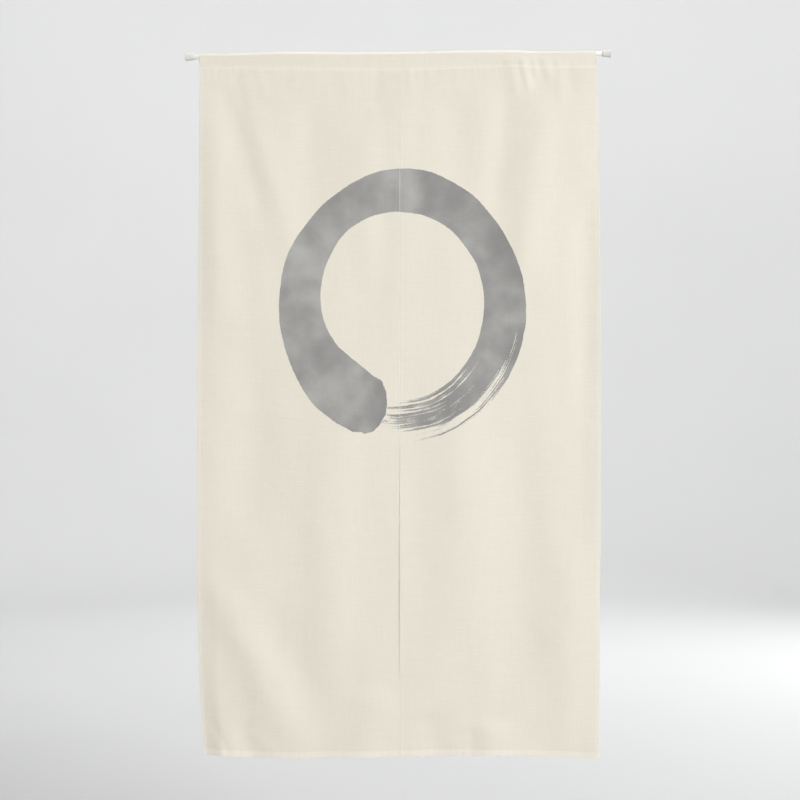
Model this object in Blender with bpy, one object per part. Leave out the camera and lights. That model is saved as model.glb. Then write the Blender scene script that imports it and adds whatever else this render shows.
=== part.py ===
"""A noren: a doorway curtain of two cloth panels on a telescopic tension rod.

Metres, +Z up, +X to the right and -Y towards the viewer. The origin is the middle of the rod's axis.
Each panel is one solid. It hangs from the rod by a pocket folded over from its own cloth, its hems
are bands of double cloth on its back, and soft folds run down it. The panels meet edge to edge in a
sewn seam down to the head of the slit, and below that they hang free of each other.
"""

import math
from collections import namedtuple

import bmesh
import bpy

# The rod
ROD_SPAN = 0.904            # foot to foot, the width of the opening that the rod is squeezed into
OUTER_TUBE_RADIUS = 0.0057
OUTER_TUBE_WALL = 0.0009
OUTER_TUBE_END = 0.247      # where the thick tube stops, under the pocket
INNER_TUBE_RADIUS = 0.0045
INNER_TUBE_WALL = 0.0006
INNER_TUBE_START = -0.210   # how far the thin tube reaches back inside the thick one
TOUCH_GAP = 0.0003          # between pieces that touch
ROUND_SIDES = 28

# The feet: flared cups over the ends of the tubes
CAP_FLOOR = 0.005           # the solid part of a foot, beyond the tube's end
CAP_RIM = 0.0010            # the rounding of a foot's edges
CAP_WAIST = 0.45            # the share of the length, from the flat face, where the flare eases off
CAP_WAIST_FLARE = 0.45      # the share of the flare reached there
Cap = namedtuple("Cap", "name side tube mouth foot length")
CAPS = (
    Cap("end_cap_left", side=-1, tube=OUTER_TUBE_RADIUS, mouth=0.0070, foot=0.0085, length=0.0190),
    Cap("end_cap_right", side=1, tube=INNER_TUBE_RADIUS, mouth=0.0066, foot=0.0080, length=0.0180),
)

# The cloth
CLOTH = 0.0012
SIDE_HEM = 0.008
BOTTOM_HEM = 0.014
FLAP_EDGE = 0.003           # how far the pocket's folded-over layer reaches below its stitch row
HEM_STEP = 0.0014           # the width over which the cloth's thickness changes
POCKET_GAP = 0.0005         # between the cloth and the tube that it rests on
SLIT_X = 0.0053
SLIT_HEAD = -0.202          # the sewn seam ends here
SEAM_GAP = 0.0003
SLIT_GAP = 0.0010
SLIT_OPENS_OVER = 0.060
HELD_DEPTH = 0.060          # how far below the pocket the rod still keeps the cloth flat

# The mesh: columns run down the cloth, rows run across it
FIELD_COLUMNS = 17
FIELD_ROWS = 34
POCKET_FLANK = 2            # pieces in each straight flank of the pocket
POCKET_ARC = 13             # pieces in the arc over the rod
Column = namedtuple("Column", "share added doubled")
Row = namedtuple("Row", "z doubled")

# The outline of the curtain's two outer sides, from the rod down
Side = namedtuple("Side", "z left right")
SIDES = (
    Side(z=0.010, left=-0.4220, right=0.4206),
    Side(z=-0.035, left=-0.4215, right=0.4224),
    Side(z=-0.100, left=-0.4220, right=0.4249),
    Side(z=-0.290, left=-0.4236, right=0.4281),
    Side(z=-0.600, left=-0.4263, right=0.4306),
    Side(z=-0.950, left=-0.4268, right=0.4307),
    Side(z=-1.180, left=-0.4266, right=0.4288),
    Side(z=-1.330, left=-0.4235, right=0.4285),
    Side(z=-1.430, left=-0.4184, right=0.4266),
    Side(z=-1.500, left=-0.4129, right=0.4260),
)

# Along the rod: how much wider the pocket is than its tube needs, how far its loop stands up off the
# tube, and how deep its stitch row lies. It clears the end of the thick tube by 2 mm all round.
Heading = namedtuple("Heading", "x slack lift stitch")
HEADING = (
    Heading(x=-0.425, slack=0.0000, lift=0.0000, stitch=0.0235),
    Heading(x=-0.345, slack=0.0000, lift=0.0000, stitch=0.0228),
    Heading(x=-0.262, slack=0.0011, lift=0.0011, stitch=0.0262),
    Heading(x=-0.190, slack=0.0009, lift=0.0009, stitch=0.0270),
    Heading(x=-0.110, slack=0.0002, lift=0.0002, stitch=0.0288),
    Heading(x=-0.040, slack=0.0000, lift=0.0000, stitch=0.0298),
    Heading(x=0.005, slack=0.0000, lift=0.0000, stitch=0.0300),
    Heading(x=0.085, slack=0.0004, lift=0.0004, stitch=0.0282),
    Heading(x=0.155, slack=0.0008, lift=0.0008, stitch=0.0256),
    Heading(x=0.200, slack=0.0014, lift=0.0004, stitch=0.0246),
    Heading(x=0.247, slack=0.0019, lift=0.0000, stitch=0.0248),
    Heading(x=0.272, slack=0.0010, lift=0.0000, stitch=0.0258),
    Heading(x=0.310, slack=0.0000, lift=0.0000, stitch=0.0276),
    Heading(x=0.425, slack=0.0000, lift=0.0000, stitch=0.0272),
)
THIN_TUBE_FROM = 0.252      # the pocket starts to settle on to the thin tube
THIN_TUBE_BY = 0.300

# The bottom edge
Bottom = namedtuple("Bottom", "x z")
BOTTOM = (
    Bottom(x=-0.425, z=-1.4918),
    Bottom(x=-0.368, z=-1.4939),
    Bottom(x=-0.223, z=-1.4959),
    Bottom(x=-0.118, z=-1.4935),
    Bottom(x=0.008, z=-1.4910),
    Bottom(x=0.112, z=-1.4889),
    Bottom(x=0.197, z=-1.4868),
    Bottom(x=0.302, z=-1.4880),
    Bottom(x=0.430, z=-1.4914),
)
BOTTOM_FOUND_AT = -1.490    # the height at which a column's place along the bottom is read

# Soft folds: each is a ridge, or with a negative height a trough, along a line down the cloth
Fold = namedtuple("Fold", "x0 z0 x1 z1 width height")
FOLDS = (
    # from the head, on the left
    Fold(x0=-0.376, z0=-0.036, x1=-0.262, z1=-0.400, width=0.028, height=-0.0044),
    Fold(x0=-0.398, z0=-0.080, x1=-0.372, z1=-0.640, width=0.036, height=0.0048),
    Fold(x0=-0.325, z0=-0.090, x1=-0.215, z1=-0.470, width=0.036, height=0.0040),
    Fold(x0=-0.185, z0=-0.060, x1=-0.165, z1=-0.420, width=0.045, height=-0.0034),
    Fold(x0=-0.070, z0=-0.120, x1=-0.062, z1=-0.520, width=0.034, height=0.0030),
    # from the head, on the right
    Fold(x0=0.120, z0=-0.070, x1=0.138, z1=-0.330, width=0.042, height=-0.0040),
    Fold(x0=0.240, z0=-0.034, x1=0.205, z1=-0.350, width=0.026, height=-0.0042),
    Fold(x0=0.318, z0=-0.036, x1=0.262, z1=-0.520, width=0.036, height=0.0066),
    Fold(x0=0.398, z0=-0.240, x1=0.406, z1=-0.820, width=0.030, height=-0.0042),
    # the free length
    Fold(x0=-0.290, z0=-0.560, x1=-0.330, z1=-1.060, width=0.060, height=-0.0060),
    Fold(x0=-0.120, z0=-0.640, x1=-0.150, z1=-1.360, width=0.055, height=0.0065),
    Fold(x0=0.118, z0=-0.560, x1=0.142, z1=-1.320, width=0.060, height=0.0060),
    Fold(x0=0.262, z0=-0.700, x1=0.250, z1=-1.420, width=0.055, height=-0.0065),
    Fold(x0=0.372, z0=-0.980, x1=0.352, z1=-1.540, width=0.050, height=0.0070),
    # at the bottom
    Fold(x0=-0.420, z0=-1.060, x1=-0.180, z1=-1.540, width=0.042, height=0.0085),
    Fold(x0=-0.290, z0=-1.150, x1=-0.150, z1=-1.420, width=0.040, height=-0.0045),
    Fold(x0=-0.335, z0=-1.400, x1=-0.290, z1=-1.560, width=0.030, height=-0.0050),
    Fold(x0=-0.040, z0=-1.330, x1=-0.090, z1=-1.560, width=0.050, height=0.0060),
    Fold(x0=0.060, z0=-1.380, x1=0.095, z1=-1.560, width=0.038, height=-0.0055),
    Fold(x0=0.205, z0=-1.400, x1=0.190, z1=-1.560, width=0.040, height=0.0070),
)
FOLD_FADE = 0.25            # the share of a fold's length over which each end dies away

# How far the free edges turn out of the cloth's plane; forward is positive
Curl = namedtuple("Curl", "z left slit_left slit_right right")
CURLS = (
    Curl(z=-0.030, left=0.000, slit_left=0.000, slit_right=0.000, right=0.000),
    Curl(z=-0.202, left=-0.001, slit_left=0.002, slit_right=0.002, right=-0.001),
    Curl(z=-0.330, left=-0.002, slit_left=0.006, slit_right=0.001, right=-0.002),
    Curl(z=-0.620, left=-0.004, slit_left=0.004, slit_right=-0.003, right=0.002),
    Curl(z=-0.950, left=-0.002, slit_left=-0.002, slit_right=0.004, right=0.004),
    Curl(z=-1.250, left=-0.004, slit_left=-0.004, slit_right=0.003, right=0.000),
    Curl(z=-1.500, left=-0.014, slit_left=0.003, slit_right=-0.004, right=0.005),
)
CURL_REACH = 0.045          # how far in from an edge its turn is felt

SHARP_FROM = math.radians(35)


def blend(t):
    """0 to 1 with a soft start and end."""
    t = min(1.0, max(0.0, t))
    return t * t * (3.0 - 2.0 * t)


def mix(a, b, t):
    """The point at share t of the way from a to b."""
    return tuple(p + (q - p) * t for p, q in zip(a, b))


def along(rows, key, at, name):
    """A column of a table at a place between its rows, on one smooth curve through them."""
    rows = sorted(rows, key=lambda row: getattr(row, key))
    places = [getattr(row, key) for row in rows]
    values = [getattr(row, name) for row in rows]
    at = min(places[-1], max(places[0], at))
    last = len(rows) - 1
    i = next(k for k in range(last) if at <= places[k + 1])
    span = places[i + 1] - places[i]
    t = (at - places[i]) / span

    def slope(k):
        before, after = max(k - 1, 0), min(k + 1, last)
        return (values[after] - values[before]) / (places[after] - places[before])

    return (
        values[i] * (1.0 + 2.0 * t) * (1.0 - t) ** 2
        + slope(i) * span * t * (1.0 - t) ** 2
        + values[i + 1] * t * t * (3.0 - 2.0 * t)
        - slope(i + 1) * span * t * t * (1.0 - t)
    )


def fold_height(fold, x, z):
    """How far forward one fold lifts the cloth at a point."""
    dx, dz = fold.x1 - fold.x0, fold.z1 - fold.z0
    length = math.hypot(dx, dz)
    t = ((x - fold.x0) * dx + (z - fold.z0) * dz) / length**2
    off = ((x - fold.x0) * dz - (z - fold.z0) * dx) / length
    ends = blend(t / FOLD_FADE) * blend((1.0 - t) / FOLD_FADE)
    return fold.height * math.exp(-((off / fold.width) ** 2)) * ends


def edge_turn(x, z, edge, curl):
    """How far forward the turn of a free edge carries the cloth at a point."""
    return along(CURLS, "z", z, curl) * blend(1.0 - abs(x - edge) / CURL_REACH)


def pocket_wall(radius, centre, stitch, root):
    """One side of the pocket's cloth as (y, z): up the front, over the rod and down the back."""
    reach = math.acos(radius / (stitch + centre))
    arc = []
    for k in range(POCKET_ARC + 1):
        angle = reach + 2.0 * (math.pi - reach) * k / POCKET_ARC
        arc.append((-radius * math.sin(angle), centre - radius * math.cos(angle)))
    front_root, back_root = (-root, -stitch), (root, -stitch)
    flank = [k / POCKET_FLANK for k in range(1, POCKET_FLANK)]
    rise = [mix(front_root, arc[0], t) for t in flank]
    fall = [mix(arc[-1], back_root, t) for t in flank]
    return [front_root] + rise + arc + fall + [back_root]


def bridge(shape, ring_a, ring_b):
    """Faces between two closed rings with as many points."""
    for k in range(len(ring_a)):
        after = (k + 1) % len(ring_a)
        shape.faces.new((ring_a[k], ring_a[after], ring_b[after], ring_b[k]))


class Panel:
    """One width of the curtain's cloth, from its outer side to the slit."""

    def __init__(self, name, outer, inner):
        self.name = name
        self.outer = outer      # the column of SIDES and CURLS for its outer side
        self.inner = inner      # the column of CURLS for its edge at the slit
        self.on_left = outer == "left"

    def edges(self, z):
        """The x of the outer side and of the edge at the slit, at a height."""
        opening = blend((SLIT_HEAD - z) / SLIT_OPENS_OVER)
        half_gap = (SEAM_GAP + (SLIT_GAP - SEAM_GAP) * opening) / 2
        outer = along(SIDES, "z", z, self.outer)
        return outer, SLIT_X - half_gap if self.on_left else SLIT_X + half_gap

    def columns(self):
        """The columns of the mesh: a share of the panel's width and a distance added to it."""
        inset = SIDE_HEM + HEM_STEP
        field = []
        for k in range(1, FIELD_COLUMNS):
            share = k / FIELD_COLUMNS
            field.append(Column(share, inset * (1.0 - 2.0 * share), False))
        near = [Column(0.0, 0.0, True), Column(0.0, SIDE_HEM, True), Column(0.0, inset, False)]
        far = [Column(1.0, -inset, False), Column(1.0, -SIDE_HEM, True), Column(1.0, 0.0, True)]
        return near + field + far

    def place(self, column, z):
        """The x of a column at a height."""
        left, right = sorted(self.edges(z))
        return left + (right - left) * column.share + column.added

    def rows(self, column, stitch):
        """The rows of one column, from the bottom edge up to the stitch row."""
        bottom = along(BOTTOM, "x", self.place(column, BOTTOM_FOUND_AT), "z")
        low = bottom + BOTTOM_HEM + HEM_STEP
        high = -stitch - FLAP_EDGE - HEM_STEP
        field = []
        for k in range(FIELD_ROWS + 1):
            field.append(Row(low + (high - low) * k / FIELD_ROWS, False))
        hem = [Row(bottom, True), Row(bottom + BOTTOM_HEM, True)]
        return hem + field + [Row(-stitch - FLAP_EDGE, True), Row(-stitch, True)]

    def middle(self, x, z, stitch):
        """The y of the hanging cloth's middle below the pocket."""
        outer, inner = self.edges(z)
        forward = sum(fold_height(fold, x, z) for fold in FOLDS)
        forward += edge_turn(x, z, outer, self.outer) + edge_turn(x, z, inner, self.inner)
        return -CLOTH / 2 - forward * blend((-stitch - z) / HELD_DEPTH)

    def tail(self, column, stitch):
        """The front and back points of one column of the hanging cloth, from the bottom up."""
        front, back = [], []
        for row in self.rows(column, stitch):
            x = self.place(column, row.z)
            y = self.middle(x, row.z, stitch)
            folded_over = CLOTH if row.doubled or column.doubled else 0.0
            front.append((x, y - CLOTH / 2, row.z))
            back.append((x, y + CLOTH / 2 + folded_over, row.z))
        return front, back

    def pocket(self, column, stitch):
        """The pocket's outer and inner points at one column, without the outer roots."""
        x = self.place(column, -stitch)
        slack, lift = along(HEADING, "x", x, "slack"), along(HEADING, "x", x, "lift")
        settled = blend((x - THIN_TUBE_FROM) / (THIN_TUBE_BY - THIN_TUBE_FROM))
        tube = OUTER_TUBE_RADIUS + (INNER_TUBE_RADIUS - OUTER_TUBE_RADIUS) * settled
        radius = tube + POCKET_GAP + slack
        outer = pocket_wall(radius + CLOTH, lift, stitch, root=CLOTH)[1:-1]
        inner = pocket_wall(radius, lift, stitch, root=0.0)[:-1]
        return [
            [(self.place(column, z), y, z) for y, z in wall] for wall in (outer, inner)
        ]

    def close_end(self, shape, rim, hole, tail_points):
        """Closes a side edge, between the outline of the section and the pocket's opening."""
        last = len(rim) - 1
        front, back = tail_points - 1, last - tail_points + 1
        for k in range(front):
            shape.faces.new((rim[k], rim[k + 1], rim[last - k - 1], rim[last - k]))
        shape.faces.new((rim[front], hole[0], rim[back]))
        for k in range(len(hole)):
            after = (k + 1) % len(hole)
            shape.faces.new((rim[front + k], rim[front + k + 1], hole[after], hole[k]))

    def build(self):
        """The panel's closed mesh: sections through tail and pocket, joined side by side."""
        shape = bmesh.new()
        rims, holes = [], []
        for column in self.columns():
            stitch = along(HEADING, "x", self.place(column, -HEADING[0].stitch), "stitch")
            front, back = self.tail(column, stitch)
            outer, inner = self.pocket(column, stitch)
            rims.append([shape.verts.new(p) for p in front + outer + back[::-1]])
            holes.append([shape.verts.new(p) for p in inner])
        for k in range(len(rims) - 1):
            bridge(shape, rims[k], rims[k + 1])
            bridge(shape, holes[k + 1], holes[k])
        self.close_end(shape, rims[0], holes[0], len(front))
        self.close_end(shape, rims[-1], holes[-1], len(front))
        bmesh.ops.recalc_face_normals(shape, faces=shape.faces)
        return shape


def turned(profile):
    """The closed shape of a profile of (x, radius) points turned about the rod's axis."""
    shape = bmesh.new()
    points = [shape.verts.new((x, 0.0, radius)) for x, radius in profile]
    edges = []
    for k, point in enumerate(points):
        after = (k + 1) % len(points)
        if profile[k][1] > 0.0 or profile[after][1] > 0.0:
            edges.append(shape.edges.new((point, points[after])))
    bmesh.ops.spin(
        shape,
        geom=points + edges,
        cent=(0.0, 0.0, 0.0),
        axis=(1.0, 0.0, 0.0),
        angle=2.0 * math.pi,
        steps=ROUND_SIDES,
    )
    bmesh.ops.remove_doubles(shape, verts=shape.verts, dist=1e-6)
    bmesh.ops.recalc_face_normals(shape, faces=shape.faces)
    return shape


def tube(start, end, radius, wall):
    """A thin-walled tube along the rod."""
    bore = radius - wall
    return turned([(start, bore), (end, bore), (end, radius), (start, radius)])


def end_cap(cap):
    """A foot of the rod: a flared cup with a flat face, over the end of its tube."""
    face = cap.side * ROD_SPAN / 2
    bore = cap.tube + TOUCH_GAP

    def inward(distance):
        return face - cap.side * distance

    waist = cap.mouth + (cap.foot - cap.mouth) * CAP_WAIST_FLARE
    return turned([
        (inward(cap.length), bore),
        (inward(cap.length), cap.mouth - CAP_RIM / 2),
        (inward(cap.length - CAP_RIM / 2), cap.mouth),
        (inward(cap.length * CAP_WAIST), waist),
        (inward(CAP_RIM), cap.foot),
        (face, cap.foot - CAP_RIM),
        (face, 0.0),
        (inward(CAP_FLOOR), 0.0),
        (inward(CAP_FLOOR), bore),
    ])


def finish(name, color, roughness):
    """A plain material."""
    material = bpy.data.materials.new(name)
    material.use_nodes = True
    shader = material.node_tree.nodes["Principled BSDF"]
    shader.inputs["Base Color"].default_value = (*color, 1.0)
    shader.inputs["Roughness"].default_value = roughness
    shader.inputs["Metallic"].default_value = 0.0
    return material


def add_object(name, shape, material, parent):
    """Makes a named, smooth-shaded object of a bmesh."""
    mesh = bpy.data.meshes.new(name)
    shape.to_mesh(mesh)
    shape.free()
    mesh.shade_smooth()
    mesh.set_sharp_from_angle(angle=SHARP_FROM)
    mesh.materials.append(material)
    obj = bpy.data.objects.new(name, mesh)
    bpy.context.scene.collection.objects.link(obj)
    obj.parent = parent


def main():
    """Builds the curtain and its rod."""
    for obj in list(bpy.data.objects):
        bpy.data.objects.remove(obj)
    noren = bpy.data.objects.new("noren", None)
    bpy.context.scene.collection.objects.link(noren)
    cloth = finish("unbleached_cloth", (0.78, 0.73, 0.62), 0.9)
    enamel = finish("white_enamel", (0.86, 0.86, 0.84), 0.35)
    soft_plastic = finish("soft_white_plastic", (0.70, 0.69, 0.66), 0.55)

    for panel in (
        Panel("panel_left", outer="left", inner="slit_left"),
        Panel("panel_right", outer="right", inner="slit_right"),
    ):
        add_object(panel.name, panel.build(), cloth, noren)

    tube_end = ROD_SPAN / 2 - CAP_FLOOR - TOUCH_GAP
    thick = tube(-tube_end, OUTER_TUBE_END, OUTER_TUBE_RADIUS, OUTER_TUBE_WALL)
    thin = tube(INNER_TUBE_START, tube_end, INNER_TUBE_RADIUS, INNER_TUBE_WALL)
    add_object("rod_outer_tube", thick, enamel, noren)
    add_object("rod_inner_tube", thin, enamel, noren)
    for cap in CAPS:
        add_object(cap.name, end_cap(cap), soft_plastic, noren)


main()
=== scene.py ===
"""The looks of a noren, a doorway curtain of two cloth panels on a telescopic tension rod.

The panels are thin sheets on the folds of their solids, with turned hems, a pocket round the rod,
sewn rows of thread and a brushed ring printed across both. The rod and its feet are white.
Metres, +Z up, +X to the right and -Y towards the viewer, with the origin in the middle of the rod.
"""

import logging
import math
from dataclasses import dataclass, field
from enum import Enum
from typing import NamedTuple

import bpy
import numpy as np
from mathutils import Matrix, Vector


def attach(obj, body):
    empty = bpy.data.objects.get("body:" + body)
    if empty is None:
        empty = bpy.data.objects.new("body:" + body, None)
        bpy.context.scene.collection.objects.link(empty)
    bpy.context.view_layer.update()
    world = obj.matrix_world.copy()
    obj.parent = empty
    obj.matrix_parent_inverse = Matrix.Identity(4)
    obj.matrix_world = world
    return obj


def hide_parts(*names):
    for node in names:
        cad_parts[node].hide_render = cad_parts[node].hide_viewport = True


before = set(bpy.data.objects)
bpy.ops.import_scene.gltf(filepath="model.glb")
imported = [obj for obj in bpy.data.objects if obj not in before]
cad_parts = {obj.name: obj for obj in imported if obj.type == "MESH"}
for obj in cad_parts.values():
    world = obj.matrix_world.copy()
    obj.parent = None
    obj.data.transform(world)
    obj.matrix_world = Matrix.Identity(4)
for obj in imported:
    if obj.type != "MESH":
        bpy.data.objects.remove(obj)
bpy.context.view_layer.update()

log = logging.getLogger("noren")

# the sockets of a Mix node that blends colours
MIX_SHARE = 0
MIX_FIRST = 6
MIX_SECOND = 7
MIX_RESULT = 2

# neighbouring faces look smooth up to this angle
SMOOTH_UP_TO = math.radians(38)

Array = np.ndarray
Colour = tuple[float, float, float]
Point = tuple[float, float, float]
Face = tuple[int, ...]
Curve = tuple[tuple[float, float], ...]


class Width(Enum):
    """The curtain's two widths of cloth."""

    LEFT = "left"
    RIGHT = "right"


class Layer(Enum):
    """The two faces of the cloth, by the side of its middle on which they lie."""

    FACE = -1.0
    BACK = 1.0


class Side(NamedTuple):
    """Where the curtain's outer sides run at a height."""

    z: float
    left: float
    right: float


class Heading(NamedTuple):
    """The pocket at a place along the rod: its slack, its loop's lift, its stitch row's depth."""

    x: float
    slack: float
    lift: float
    stitch: float


class Bottom(NamedTuple):
    """The height of the bottom edge at a place across the curtain."""

    x: float
    z: float


class Fold(NamedTuple):
    """A soft ridge, or with a negative height a trough, along a line down the cloth."""

    x0: float
    z0: float
    x1: float
    z1: float
    width: float
    height: float


class Curl(NamedTuple):
    """How far forward the free edges turn at a height."""

    z: float
    left: float
    slit_left: float
    slit_right: float
    right: float


class Line(NamedTuple):
    """A line of the sheet's mesh near an edge.

    offset is its distance from the edge, full the share of the cloth's thickness that it has,
    double is 1 where the cloth lies double, and pinch is 1 under a row of stitches.
    """

    offset: float
    full: float
    double: float
    pinch: float = 0.0


def soft(t: Array | float) -> Array:
    """0 to 1 with a soft start and end."""
    t = np.clip(t, 0.0, 1.0)
    return t * t * (3.0 - 2.0 * t)


def read(
    rows: tuple[Side | Heading | Bottom | Curl, ...], key: str, name: str, at: Array | float
) -> Array:
    """Reads a column of a table on one smooth curve through its rows.

    Args:
        rows: The table, in rising order of key.
        key: The column that says where each row is.
        name: The column to read.
        at: The places to read it at.

    Returns:
        The column's value at each place.
    """
    places = np.array([getattr(row, key) for row in rows])
    values = np.array([getattr(row, name) for row in rows])
    at = np.clip(at, places[0], places[-1])
    last = len(rows) - 1
    before = np.maximum(np.arange(last + 1) - 1, 0)
    after = np.minimum(np.arange(last + 1) + 1, last)
    slopes = (values[after] - values[before]) / (places[after] - places[before])
    i = np.clip(np.searchsorted(places, at) - 1, 0, last - 1)
    span = places[i + 1] - places[i]
    t = (at - places[i]) / span
    return (
        values[i] * (1.0 + 2.0 * t) * (1.0 - t) ** 2
        + slopes[i] * span * t * (1.0 - t) ** 2
        + values[i + 1] * t * t * (3.0 - 2.0 * t)
        - slopes[i + 1] * span * t * t * (1.0 - t)
    )


@dataclass(frozen=True)
class Hang:
    """How the curtain hangs, on the sizes of its solids: outline, pocket and folds.

    Along the rod the pocket settles from the thick tube onto the thin one between thin_from and
    thin_by. A fold fades over a share fold_fade of its length at both ends, and under the stitch
    row all folds start softly over held_depth.
    """

    thick_tube: float = 0.0057
    thin_tube: float = 0.0045
    thin_from: float = 0.252
    thin_by: float = 0.300
    slit_x: float = 0.0053
    slit_head: float = -0.202
    seam_gap: float = 0.00006
    slit_gap: float = 0.00035
    slit_opens_over: float = 0.060
    held_depth: float = 0.060
    fold_fade: float = 0.25
    curl_reach: float = 0.045
    sides: tuple[Side, ...] = (
        Side(z=-1.500, left=-0.4129, right=0.4260),
        Side(z=-1.430, left=-0.4184, right=0.4266),
        Side(z=-1.330, left=-0.4235, right=0.4285),
        Side(z=-1.180, left=-0.4266, right=0.4288),
        Side(z=-0.950, left=-0.4268, right=0.4307),
        Side(z=-0.600, left=-0.4263, right=0.4306),
        Side(z=-0.290, left=-0.4236, right=0.4281),
        Side(z=-0.100, left=-0.4220, right=0.4249),
        Side(z=-0.035, left=-0.4215, right=0.4224),
        Side(z=0.010, left=-0.4220, right=0.4206),
    )
    heading: tuple[Heading, ...] = (
        Heading(x=-0.425, slack=0.0000, lift=0.0000, stitch=0.0235),
        Heading(x=-0.345, slack=0.0000, lift=0.0000, stitch=0.0228),
        Heading(x=-0.262, slack=0.0011, lift=0.0011, stitch=0.0262),
        Heading(x=-0.190, slack=0.0009, lift=0.0009, stitch=0.0270),
        Heading(x=-0.110, slack=0.0002, lift=0.0002, stitch=0.0288),
        Heading(x=-0.040, slack=0.0000, lift=0.0000, stitch=0.0298),
        Heading(x=0.005, slack=0.0000, lift=0.0000, stitch=0.0300),
        Heading(x=0.085, slack=0.0004, lift=0.0004, stitch=0.0282),
        Heading(x=0.155, slack=0.0008, lift=0.0008, stitch=0.0256),
        Heading(x=0.200, slack=0.0014, lift=0.0004, stitch=0.0246),
        Heading(x=0.247, slack=0.0019, lift=0.0000, stitch=0.0248),
        Heading(x=0.272, slack=0.0010, lift=0.0000, stitch=0.0258),
        Heading(x=0.310, slack=0.0000, lift=0.0000, stitch=0.0276),
        Heading(x=0.425, slack=0.0000, lift=0.0000, stitch=0.0272),
    )
    bottoms: tuple[Bottom, ...] = (
        Bottom(x=-0.425, z=-1.4918),
        Bottom(x=-0.368, z=-1.4939),
        Bottom(x=-0.223, z=-1.4959),
        Bottom(x=-0.118, z=-1.4935),
        Bottom(x=0.008, z=-1.4910),
        Bottom(x=0.112, z=-1.4889),
        Bottom(x=0.197, z=-1.4868),
        Bottom(x=0.302, z=-1.4880),
        Bottom(x=0.430, z=-1.4914),
    )
    folds: tuple[Fold, ...] = (
        # from the head, on the left
        Fold(x0=-0.376, z0=-0.036, x1=-0.262, z1=-0.400, width=0.028, height=-0.0044),
        Fold(x0=-0.398, z0=-0.080, x1=-0.372, z1=-0.640, width=0.036, height=0.0048),
        Fold(x0=-0.325, z0=-0.090, x1=-0.215, z1=-0.470, width=0.036, height=0.0040),
        Fold(x0=-0.185, z0=-0.060, x1=-0.165, z1=-0.420, width=0.045, height=-0.0034),
        Fold(x0=-0.070, z0=-0.120, x1=-0.062, z1=-0.520, width=0.034, height=0.0030),
        # from the head, on the right
        Fold(x0=0.120, z0=-0.070, x1=0.138, z1=-0.330, width=0.042, height=-0.0040),
        Fold(x0=0.240, z0=-0.034, x1=0.205, z1=-0.350, width=0.026, height=-0.0042),
        Fold(x0=0.318, z0=-0.036, x1=0.262, z1=-0.520, width=0.036, height=0.0066),
        Fold(x0=0.398, z0=-0.240, x1=0.406, z1=-0.820, width=0.030, height=-0.0042),
        # the free length
        Fold(x0=-0.290, z0=-0.560, x1=-0.330, z1=-1.060, width=0.060, height=-0.0060),
        Fold(x0=-0.120, z0=-0.640, x1=-0.150, z1=-1.360, width=0.055, height=0.0065),
        Fold(x0=0.118, z0=-0.560, x1=0.142, z1=-1.320, width=0.060, height=0.0060),
        Fold(x0=0.262, z0=-0.700, x1=0.250, z1=-1.420, width=0.055, height=-0.0065),
        Fold(x0=0.372, z0=-0.980, x1=0.352, z1=-1.540, width=0.050, height=0.0070),
        # at the bottom
        Fold(x0=-0.420, z0=-1.060, x1=-0.180, z1=-1.540, width=0.042, height=0.0085),
        Fold(x0=-0.290, z0=-1.150, x1=-0.150, z1=-1.420, width=0.040, height=-0.0045),
        Fold(x0=-0.335, z0=-1.400, x1=-0.290, z1=-1.560, width=0.030, height=-0.0050),
        Fold(x0=-0.040, z0=-1.330, x1=-0.090, z1=-1.560, width=0.050, height=0.0060),
        Fold(x0=0.060, z0=-1.380, x1=0.095, z1=-1.560, width=0.038, height=-0.0055),
        Fold(x0=0.205, z0=-1.400, x1=0.190, z1=-1.560, width=0.040, height=0.0070),
    )
    curls: tuple[Curl, ...] = (
        Curl(z=-1.500, left=-0.0140, slit_left=0.0020, slit_right=-0.0020, right=0.0050),
        Curl(z=-1.250, left=-0.0040, slit_left=-0.0012, slit_right=0.0006, right=0.0000),
        Curl(z=-0.950, left=-0.0020, slit_left=-0.0002, slit_right=0.0012, right=0.0040),
        Curl(z=-0.620, left=-0.0040, slit_left=0.0014, slit_right=0.0000, right=0.0020),
        Curl(z=-0.330, left=-0.0020, slit_left=0.0026, slit_right=0.0010, right=-0.0020),
        Curl(z=-0.202, left=-0.0010, slit_left=0.0016, slit_right=0.0016, right=-0.0010),
        Curl(z=-0.030, left=0.0000, slit_left=0.0000, slit_right=0.0000, right=0.0000),
    )
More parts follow.
